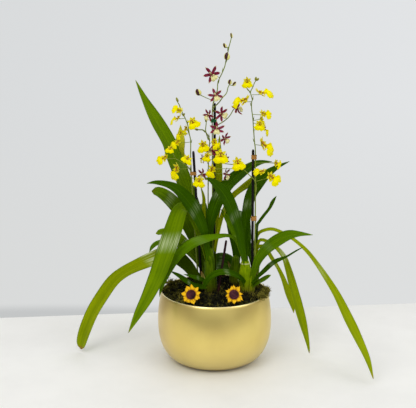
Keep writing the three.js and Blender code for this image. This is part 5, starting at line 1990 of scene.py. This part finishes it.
LEAVES = [
    StrapLeaf("leaf_01_tall_left", Tone.TALL, [
        (-13, 31, 152, 9), (-17, 28, 192, 14), (-31, 28, 237, 21), (-44, 31, 269, 26),
        (-53, 34, 292, 28), (-66, 39, 323, 27), (-73, 43, 343, 26), (-92, 49, 376, 23),
        (-112, 55, 413, 11), (-124, 59, 439, 1),
    ], [(0.5, -1, 0.2), (0.6, -1, 0.6)]),
    StrapLeaf("leaf_02_pale_left", Tone.PALE, [
        (-12, 36, 150, 8), (-17, 40, 188, 13), (-31, 46, 229, 18), (-46, 53, 272, 21),
        (-58, 60, 319, 21), (-55, 63, 343, 16), (-54, 66, 367, 1),
    ], [(0.2, -1, 0.2), (0.3, -1, 0.3)]),
    StrapLeaf("leaf_03_arching_left", Tone.DEEP, [
        (-9, -12, 160, 9), (-15, -17, 203, 13), (-21, -23, 226, 18), (-30, -31, 249, 22),
        (-42, -37, 268, 24), (-55, -44, 284, 19), (-70, -50, 294, 12), (-88, -56, 299, 7),
        (-101, -61, 299, 1),
    ], [(0.4, -1, 0.3), (0.1, -0.8, 0.8)]),
    StrapLeaf("leaf_04_blunt_left", Tone.MOTTLED, [
        (-12, 5, 140, 8), (-24, 9, 165, 14), (-33, 11, 194, 18), (-42, 13, 215, 21),
        (-54, 16, 237, 24), (-70, 20, 255, 23), (-86, 24, 266, 18), (-99, 27, 268, 12),
    ], [(0.4, -1, 0.1), (0.1, -0.8, 0.7)]),
    StrapLeaf("leaf_05_folded_front", Tone.FRESH, [
        (-8, -8, 149, 9), (-14, -10, 178, 13), (-21, -11, 204, 16), (-28, -12, 227, 19),
        (-37, -12, 243, 22), (-46, -16, 250, 24), (-54, -26, 246, 26), (-63, -33, 219, 30),
        (-76, -40, 182, 31), (-87, -48, 152, 28), (-101, -57, 123, 22), (-116, -65, 97, 15),
        (-132, -72, 68, 1),
    ], [(0.5, -1, 0.2), (-0.1, -0.8, 0.9), (-0.6, -1, 0.2)]),
    StrapLeaf("leaf_06_long_left", Tone.LONG, [
        (-11, -10, 122, 9), (-23, -9, 130, 13), (-34, -7, 142, 18), (-45, -2, 155, 22),
        (-60, 2, 166, 25), (-78, 6, 169, 26), (-98, 10, 161, 25), (-124, 13, 149, 22),
        (-145, 15, 137, 21), (-162, 17, 122, 22), (-179, 19, 98, 23), (-195, 20, 71, 24),
        (-209, 21, 38, 23), (-216, 21, 16, 20), (-217, 21, 5, 12),
    ], [(0.5, -1, 0.5), (0, -0.8, 0.7), (-0.7, -0.9, 0.1)]),
    StrapLeaf("leaf_07_across_front", Tone.MID, [
        (50, 0, 149, 6), (41, -1, 176, 7), (33, -4, 196, 6), (21, -11, 205, 6), (4, -19, 206, 9),
        (-15, -27, 204, 14), (-32, -30, 199, 17), (-47, -31, 189, 18), (-60, -31, 176, 18),
        (-69, -31, 160, 15), (-77, -31, 142, 10), (-83, -30, 126, 6), (-86, -30, 112, 1),
    ], [(0.2, -1, 0.5), (-0.1, -0.9, 0.8), (-0.6, -1, 0.1)]),
    StrapLeaf("leaf_08_centre", Tone.DEEP, [
        (49, -4, 154, 8), (43, -9, 181, 11), (38, -15, 210, 14), (31, -22, 236, 18),
        (23, -28, 258, 21), (14, -34, 277, 21), (3, -41, 291, 16), (-7, -48, 301, 8),
        (-16, -54, 306, 1),
    ], [(0.3, -1, 0.1), (0.2, -0.9, 0.6)]),
    StrapLeaf("leaf_09_narrow_centre", Tone.MID, [
        (46, 4, 150, 5), (42, 7, 176, 8), (34, 9, 196, 9), (26, 11, 213, 9), (18, 14, 229, 8),
        (10, 17, 241, 1),
    ], [(0.3, -1, 0.2), (0.2, -1, 0.5)]),
    StrapLeaf("leaf_10_broad_right", Tone.DEEP, [
        (-7, -1, 160, 9), (-8, -1, 196, 14), (-6, -1, 225, 17), (0, 0, 247, 21), (8, 4, 265, 22),
        (21, 12, 282, 21), (35, 22, 293, 20), (49, 32, 301, 16), (64, 42, 308, 12),
        (77, 50, 310, 7), (92, 58, 309, 1),
    ], [(-0.4, -1, 0.1), (-0.1, -0.9, 0.7)]),
    StrapLeaf("leaf_11_olive", Tone.OLIVE, [
        (-3, 4, 148, 5), (2, 8, 185, 6), (8, 12, 217, 7), (15, 17, 239, 7), (28, 28, 258, 9),
        (40, 37, 267, 10), (57, 47, 277, 13), (70, 55, 285, 13), (78, 60, 289, 8), (86, 64, 293, 1),
    ], [(-0.2, -1, 0.2), (-0.1, -0.9, 0.7)]),
    StrapLeaf("leaf_12_back_right", Tone.DEEP, [
        (51, 2, 150, 8), (49, 9, 173, 10), (48, 15, 200, 13), (51, 21, 234, 16), (57, 26, 260, 18),
        (68, 31, 278, 20), (83, 37, 293, 15), (99, 43, 303, 8), (119, 50, 311, 1),
    ], [(-0.3, -1, 0.1), (-0.1, -0.9, 0.7)]),
    StrapLeaf("leaf_13_thin_right", Tone.DEEP, [
        (67, 21, 150, 5), (67, 20, 180, 5), (67, 19, 212, 5), (71, 21, 220, 5), (78, 24, 229, 5),
        (87, 27, 240, 5), (92, 29, 250, 6), (98, 32, 259, 1),
    ], [(-0.3, -1, 0.1), (-0.3, -1, 0.3)]),
    StrapLeaf("leaf_14_arching_right", Tone.MID, [
        (55, -5, 122, 8), (62, -11, 146, 11), (69, -16, 169, 15), (81, -23, 188, 19),
        (96, -30, 202, 21), (112, -37, 212, 18), (128, -43, 216, 10), (148, -50, 217, 1),
    ], [(-0.5, -1, 0.2), (0, -0.7, 0.9)]),
    StrapLeaf("leaf_15_dark_right", Tone.DEEP, [
        (55, -6, 120, 5), (66, -16, 138, 6), (77, -24, 152, 8), (86, -32, 164, 9),
        (95, -40, 173, 8), (109, -48, 182, 4), (123, -57, 194, 3), (132, -63, 201, 1),
    ], [(-0.4, -1, 0.5), (0, -0.7, 0.9)]),
    StrapLeaf("leaf_16_short_right", Tone.MID, [
        (55, -5, 118, 6), (67, -12, 129, 7), (79, -20, 139, 8), (87, -26, 146, 4),
    ], [(-0.2, -1, 0.6), (-0.1, -0.9, 0.8)]),
    StrapLeaf("leaf_17_low_front", Tone.DEEP, [
        (49, -5, 118, 6), (44, -12, 133, 8), (33, -22, 145, 9), (17, -30, 152, 10),
        (4, -34, 152, 10), (-8, -35, 145, 9), (-15, -34, 134, 7), (-19, -33, 124, 1),
    ], [(0.2, -1, 0.6), (-0.1, -0.9, 0.7)]),
    StrapLeaf("leaf_18_low_left", Tone.DEEP, [
        (-9, -12, 122, 7), (-24, -19, 125, 9), (-36, -23, 130, 9), (-54, -27, 144, 8),
        (-69, -30, 154, 1),
    ], [(0.3, -1, 0.6), (0.1, -0.8, 0.9)]),
    StrapLeaf("leaf_19_low_left_small", Tone.DEEP, [
        (-9, -14, 126, 6), (-20, -20, 137, 7), (-32, -24, 142, 7), (-48, -28, 148, 1),
    ], [(0.2, -1, 0.6), (0.1, -0.8, 0.9)]),
    StrapLeaf("leaf_20_behind_left", Tone.FRESH, [
        (-9, 5, 132, 8), (-20, 11, 151, 12), (-36, 16, 169, 13), (-49, 22, 186, 15),
        (-66, 28, 198, 15), (-82, 33, 200, 12), (-94, 37, 196, 8),
    ], [(0.5, -1, 0.3), (0.1, -0.8, 0.8)]),
    StrapLeaf("leaf_21_behind_left_low", Tone.MID, [
        (-9, 4, 126, 8), (-22, 15, 148, 11), (-34, 24, 162, 12), (-52, 34, 176, 13),
        (-72, 42, 180, 12), (-91, 49, 177, 9), (-101, 53, 169, 7), (-106, 57, 159, 1),
    ], [(0.4, -1, 0.4), (0, -0.8, 0.8)]),
    StrapLeaf("leaf_22_upright", Tone.OLIVE, [
        (-12, 34, 150, 8), (-4, 37, 185, 10), (2, 39, 226, 13), (6, 42, 258, 14), (6, 45, 282, 14),
        (6, 48, 306, 13), (7, 52, 329, 8), (8, 56, 352, 1),
    ], [(-0.2, -1, 0), (0, -1, 0.1)]),
    StrapLeaf("leaf_23_thin_upright", Tone.OLIVE, [
        (-9, 3, 156, 6), (-15, 13, 200, 6), (-17, 15, 239, 6), (-17, 15, 260, 5), (-22, 15, 278, 1),
    ], [(-0.2, -1, 0.1), (0, -1, 0.2)]),
    StrapLeaf("leaf_24_behind_centre", Tone.DEEP, [
        (35, 31, 134, 9), (35, 35, 169, 15), (28, 38, 210, 18), (23, 41, 242, 14), (15, 44, 266, 8),
        (7, 47, 280, 1),
    ], [(0.1, -1, 0), (0.2, -1, 0.3)]),
    StrapLeaf("leaf_25_long_right", Tone.LIME, [
        (65, 22, 144, 6), (64, 25, 176, 6), (69, 27, 197, 6), (80, 27, 204, 6), (93, 25, 206, 6),
        (108, 21, 201, 6), (125, 15, 192, 6), (144, 6, 177, 7), (159, -6, 160, 8),
        (175, -22, 138, 11), (191, -40, 113, 15), (206, -62, 83, 18), (217, -78, 61, 18),
        (229, -95, 37, 13), (238, -110, 9, 2),
    ], [(-0.2, -1, 0.5), (0.1, -0.8, 0.8), (0.7, -0.7, 0.5)]),
    StrapLeaf("leaf_26_hanging_right", Tone.BROAD, [
        (66, 20, 152, 5), (70, 18, 188, 6), (85, 15, 188, 6), (99, 13, 178, 7), (110, 11, 164, 9),
        (117, 10, 143, 12), (125, 8, 114, 16), (133, 6, 86, 17), (142, 4, 53, 14), (149, 2, 26, 8),
        (153, 1, 6, 2),
    ], [(-0.3, -1, 0.4), (0.4, -0.9, 0.4), (0.6, -0.9, 0.1)]),
    StrapLeaf("leaf_27_hanging_inner", Tone.LIME, [
        (64, 26, 134, 6), (68, 32, 172, 6), (81, 34, 174, 6), (91, 37, 157, 7), (102, 39, 139, 7),
        (111, 40, 120, 9), (120, 40, 95, 12), (127, 39, 75, 9), (130, 38, 61, 1),
    ], [(-0.2, -1, 0.3), (0.5, -0.9, 0.4), (0.5, -0.9, 0.1)]),
    StrapLeaf("leaf_28_back_arching", Tone.DEEP, [
        (-16, 37, 140, 9), (-18, 52, 186, 16), (-22, 80, 222, 22), (-27, 114, 226, 24),
        (-32, 148, 200, 21), (-36, 172, 158, 13), (-38, 182, 124, 1),
    ], [(0.1, -1, 0.5), (0, 0.2, 1), (0, 1, 0.4)]),
    StrapLeaf("leaf_29_back_middle", Tone.DEEP, [
        (36, 38, 114, 12), (30, 43, 131, 25), (20, 50, 141, 32), (7, 60, 142, 31),
        (-5, 71, 136, 24), (-15, 81, 127, 13), (-20, 88, 122, 1),
    ], [(0.3, -1, 0.5), (0, -0.95, 0.7), (-0.3, -0.8, 0.9)]),
    StrapLeaf("leaf_30_back_right", Tone.DEEP, [
        (65, 27, 130, 8), (59, 42, 158, 11), (50, 58, 186, 13), (47, 82, 208, 15),
        (50, 112, 214, 16), (55, 140, 190, 14), (60, 158, 156, 9), (62, 166, 130, 1),
    ], [(0, -1, 0.5), (0, 0.2, 1), (0, 1, 0.4)]),
]

STAKES = {
    "left": Stake("stake_left", (-20, 3, 110), (-33, 3, 336)),
    "middle": Stake("stake_middle", (-1, 20, 110), (0, 20, 408)),
    "right": Stake("stake_right", (60, 10, 110), (59, 6, 338)),
    "prop": Stake("prop_stick", (3, -20, 101), (18, -12, 198), 101, 1.8, PROP_COAT, 200),
}

SPRAYS = [
    Spray(
        "spray_left_yellow", YELLOW,
        [
            [
                (-23.5, 3, 99), (-26, 3, 130), (-30.5, 3, 200), (-34.5, 3, 270), (-37, 3, 322),
                (-37, 3, 351), (-39, 2, 363), (-41, 1, 375), (-45, 0, 387), (-49, -1, 395),
                (-54, -2, 408), (-57, -2, 413),
            ],
            [(-36.5, 3, 303), (-42, -1, 313), (-60, -1, 325)],
        ],
        [
            Bloom((-54, -7, 400), -20, 92, 0.8, twist=-50),
            Bloom((-56, -4, 388), -20, 58, 1.05, twist=-72, nod=-22),
            Bloom((-34, -8, 383), 12, -25, 0.95, nod=25), Bloom((-44, 12, 369), -65, 0, 0.75),
            Bloom((-52, -2, 364), -25, 15, 0.8, twist=-45),
            Bloom((-57, -6, 351), -15, 35, 0.8, twist=-40),
            Bloom((-68, -4, 341), -15, 5, 0.68, nod=35),
            Bloom((-77, -6, 327), -10, 42, 0.95, twist=-50),
            Bloom((-42, -11, 327), 5, 32, 0.9, nod=40), Bloom((-58, -9, 310), -64, 0, 1.25),
            Bloom((-24, -12, 293), 8, 12, 0.92, nod=25, via=(-32, -5, 296)),
        ],
        [Bud((-57, -2, 416), 3.6, 7.5, (-0.4, 0, 1)), Bud((-47, -2, 393), 3, 5.5, (0.6, 0, 1))],
    ),
    Spray(
        "spray_centre_maroon", MAROON,
        [
            [
                (-2, 15, 99), (-3, 15.5, 200), (-3.5, 15.5, 330), (-3.5, 15.5, 400), (2, 16, 417),
                (4, 17, 429), (5, 17, 441), (11, 17, 454), (15, 16, 464), (17, 16, 474),
                (20, 15, 487), (21, 14, 493), (23, 14, 500), (25, 14, 508),
            ],
            [
                (-3.5, 15.5, 400), (6, 15, 409), (12, 15, 417), (18, 15, 424), (20, 15, 432),
                (23, 14, 438),
            ],
            [(-3.5, 15.5, 372), (4, 13, 375), (13, 13, 380), (22, 12, 388), (29, 10, 400)],
        ],
        [
            Bloom((-5, 9, 453), -15, -40, 1.3), Bloom((1, 8, 421), 5, -20, 1.15, nod=25),
            Bloom((10, 6, 393), 15, -65, 1.1), Bloom((-10, 7, 391), -38, 30, 1),
            Bloom((3, 6, 370), 0, 0, 1.15, nod=30), Bloom((16, 9, 354), 35, -45, 0.95),
            Bloom((34, 8, 401), 30, -70, 1.1, twist=40), Bloom((-6, 7, 336), -10, 20, 1.05, nod=30),
            Bloom((-19, 3, 324), -70, 20, 0.8), Bloom((-19, 3, 299), -40, 10, 1.05),
            Bloom((18, 1, 300), 62, -10, 1.05), Bloom((18, 16, 322), 120, 0, 0.8),
        ],
        [
            Bud((25, 14, 511), 3.8, 8, (-0.2, 0, 1)), Bud((15, 13, 496), 5.5, 8, (-0.5, 0, 1)),
            Bud((18.5, 11, 480), 9.5, 12, (0, 0, 1)), Bud((-25, 9, 426), 9.5, 11, (-0.6, 0, 1)),
            Bud((23, 14, 441), 6.5, 8, (0.1, 0, 1)), Bud((30, 15, 438), 5.5, 7.5, (0.7, 0, 1)),
        ],
    ),
    Spray(
        "spray_centre_yellow", YELLOW,
        [
            [
                (-9, 15, 99), (-10, 15.5, 170), (-10, 15, 300), (-8, 14, 344), (-9, 13, 356),
                (-17, 12, 367), (-25, 11, 368),
            ],
            [(-10, 13, 352), (-14, 12, 366), (-13.5, 11, 374), (-13, 10, 380)],
        ],
        [
            Bloom((-18, 5, 345), -10, -18, 0.96, nod=20),
            Bloom((-1, -3, 351), 45, -20, 0.85, via=(-8, 7, 346)),
            Bloom((-12, -5, 330), 15, 15, 0.68, via=(-12, 6, 315)),
        ],
        [Bud((-13, 10, 383), 3.5, 6.5, (0.1, 0, 1)), Bud((-28, 11, 368.5), 3.5, 6, (-1, 0, 0.3))],
    ),
    Spray(
        "spray_right_yellow", YELLOW,
        [
            [
                (63.5, 10, 99), (63.5, 9.5, 160), (63.6, 8, 240), (62.8, 6.5, 310), (62.5, 6, 338),
                (61, 6, 350), (59, 6, 375), (58, 6, 387), (56, 5, 402), (56, 5, 411), (57, 5, 415),
                (55, 4, 422), (54, 4, 427), (57, 4, 433), (60, 3, 441), (62, 3, 444),
            ],
            [(54, 4, 427), (50, 5, 430), (48, 6, 434), (48, 6, 438)],
            [
                (63.4, 7.6, 268), (64.4, 4, 280), (61.5, -1.5, 291), (53, -4, 300), (44, 0, 308),
                (34, 3, 314), (22, 1, 316), (8, -1, 318),
            ],
        ],
        [
            Bloom((49, 4, 443), -10, -5, 0.81, nod=10),
            Bloom((70, -3, 426), 10, -82, 1.35, twist=72, nod=-22),
            Bloom((44, -6, 415), -10, 72, 1.35, twist=-66, nod=-22),
            Bloom((74, 0, 394), 20, -62, 0.9, twist=45), Bloom((72, 15, 384), 110, -30, 0.77),
            Bloom((68, -9, 380), 5, 8, 0.81, nod=10), Bloom((77, 10, 370), 80, 0, 0.9),
            Bloom((74, -9, 348), 15, -45, 1.46, twist=54, nod=-15),
            Bloom((94, -2, 318), 55, -60, 0.77),
            Bloom((72, -8, 306), 0, 84, 0.96, twist=-70, nod=-22),
            Bloom((87, -5, 297), 10, -38, 1.13, twist=35),
            Bloom((35, -5, 320), 5, -12, 1.04, nod=22), Bloom((9, -9, 332), 0, 0, 1.13, nod=25),
            Bloom((-4, -11, 310), -48, 5, 0.99),
        ],
        [Bud((62, 3, 447), 3.4, 6, (0.2, 0, 1)), Bud((65, 3, 446), 3.2, 5, (0.9, 0, 1))],
    ),
]

TIES = [
    (Tie("tie_left", "tie", TAPE, 301, 5, 0.5), "left", SPRAYS[0]),
    (Tie("clip_middle", "clip", CLIP, 381, 5, 0.9), "middle", SPRAYS[1]),
    (Tie("tie_right_upper", "tie", TAPE, 326, 6.5, 0.5), "right", SPRAYS[3]),
    (Tie("tie_right_lower", "tie", TAPE, 228, 7, 0.5), "right", SPRAYS[3]),
]

PICKS = [
    SunflowerPick("sunflower_left", (-36, -63, 126), -8, False),
    SunflowerPick("sunflower_right", (29, -63, 126), 6, True),
]


def main() -> None:
    """Build every piece in order."""
    logging.basicConfig(level=logging.INFO, format="%(message)s")
    Studio().build()
    bowl = Bowl()
    bowl.build()
    dress_mix()
    MossBed(bowl).build()
    for thing in (*SHOOTS, *LEAVES, *STAKES.values()):
        thing.build()
    for seed, spray in enumerate(SPRAYS, SPRAY_SEED):
        spray.build(seed)
    for tie, stake, spray in TIES:
        tie.build(STAKES[stake], spray.curves[0])
    for seed, pick in enumerate(PICKS, PICK_SEED):
        pick.build(seed)


if __name__ == "__main__":
    main()
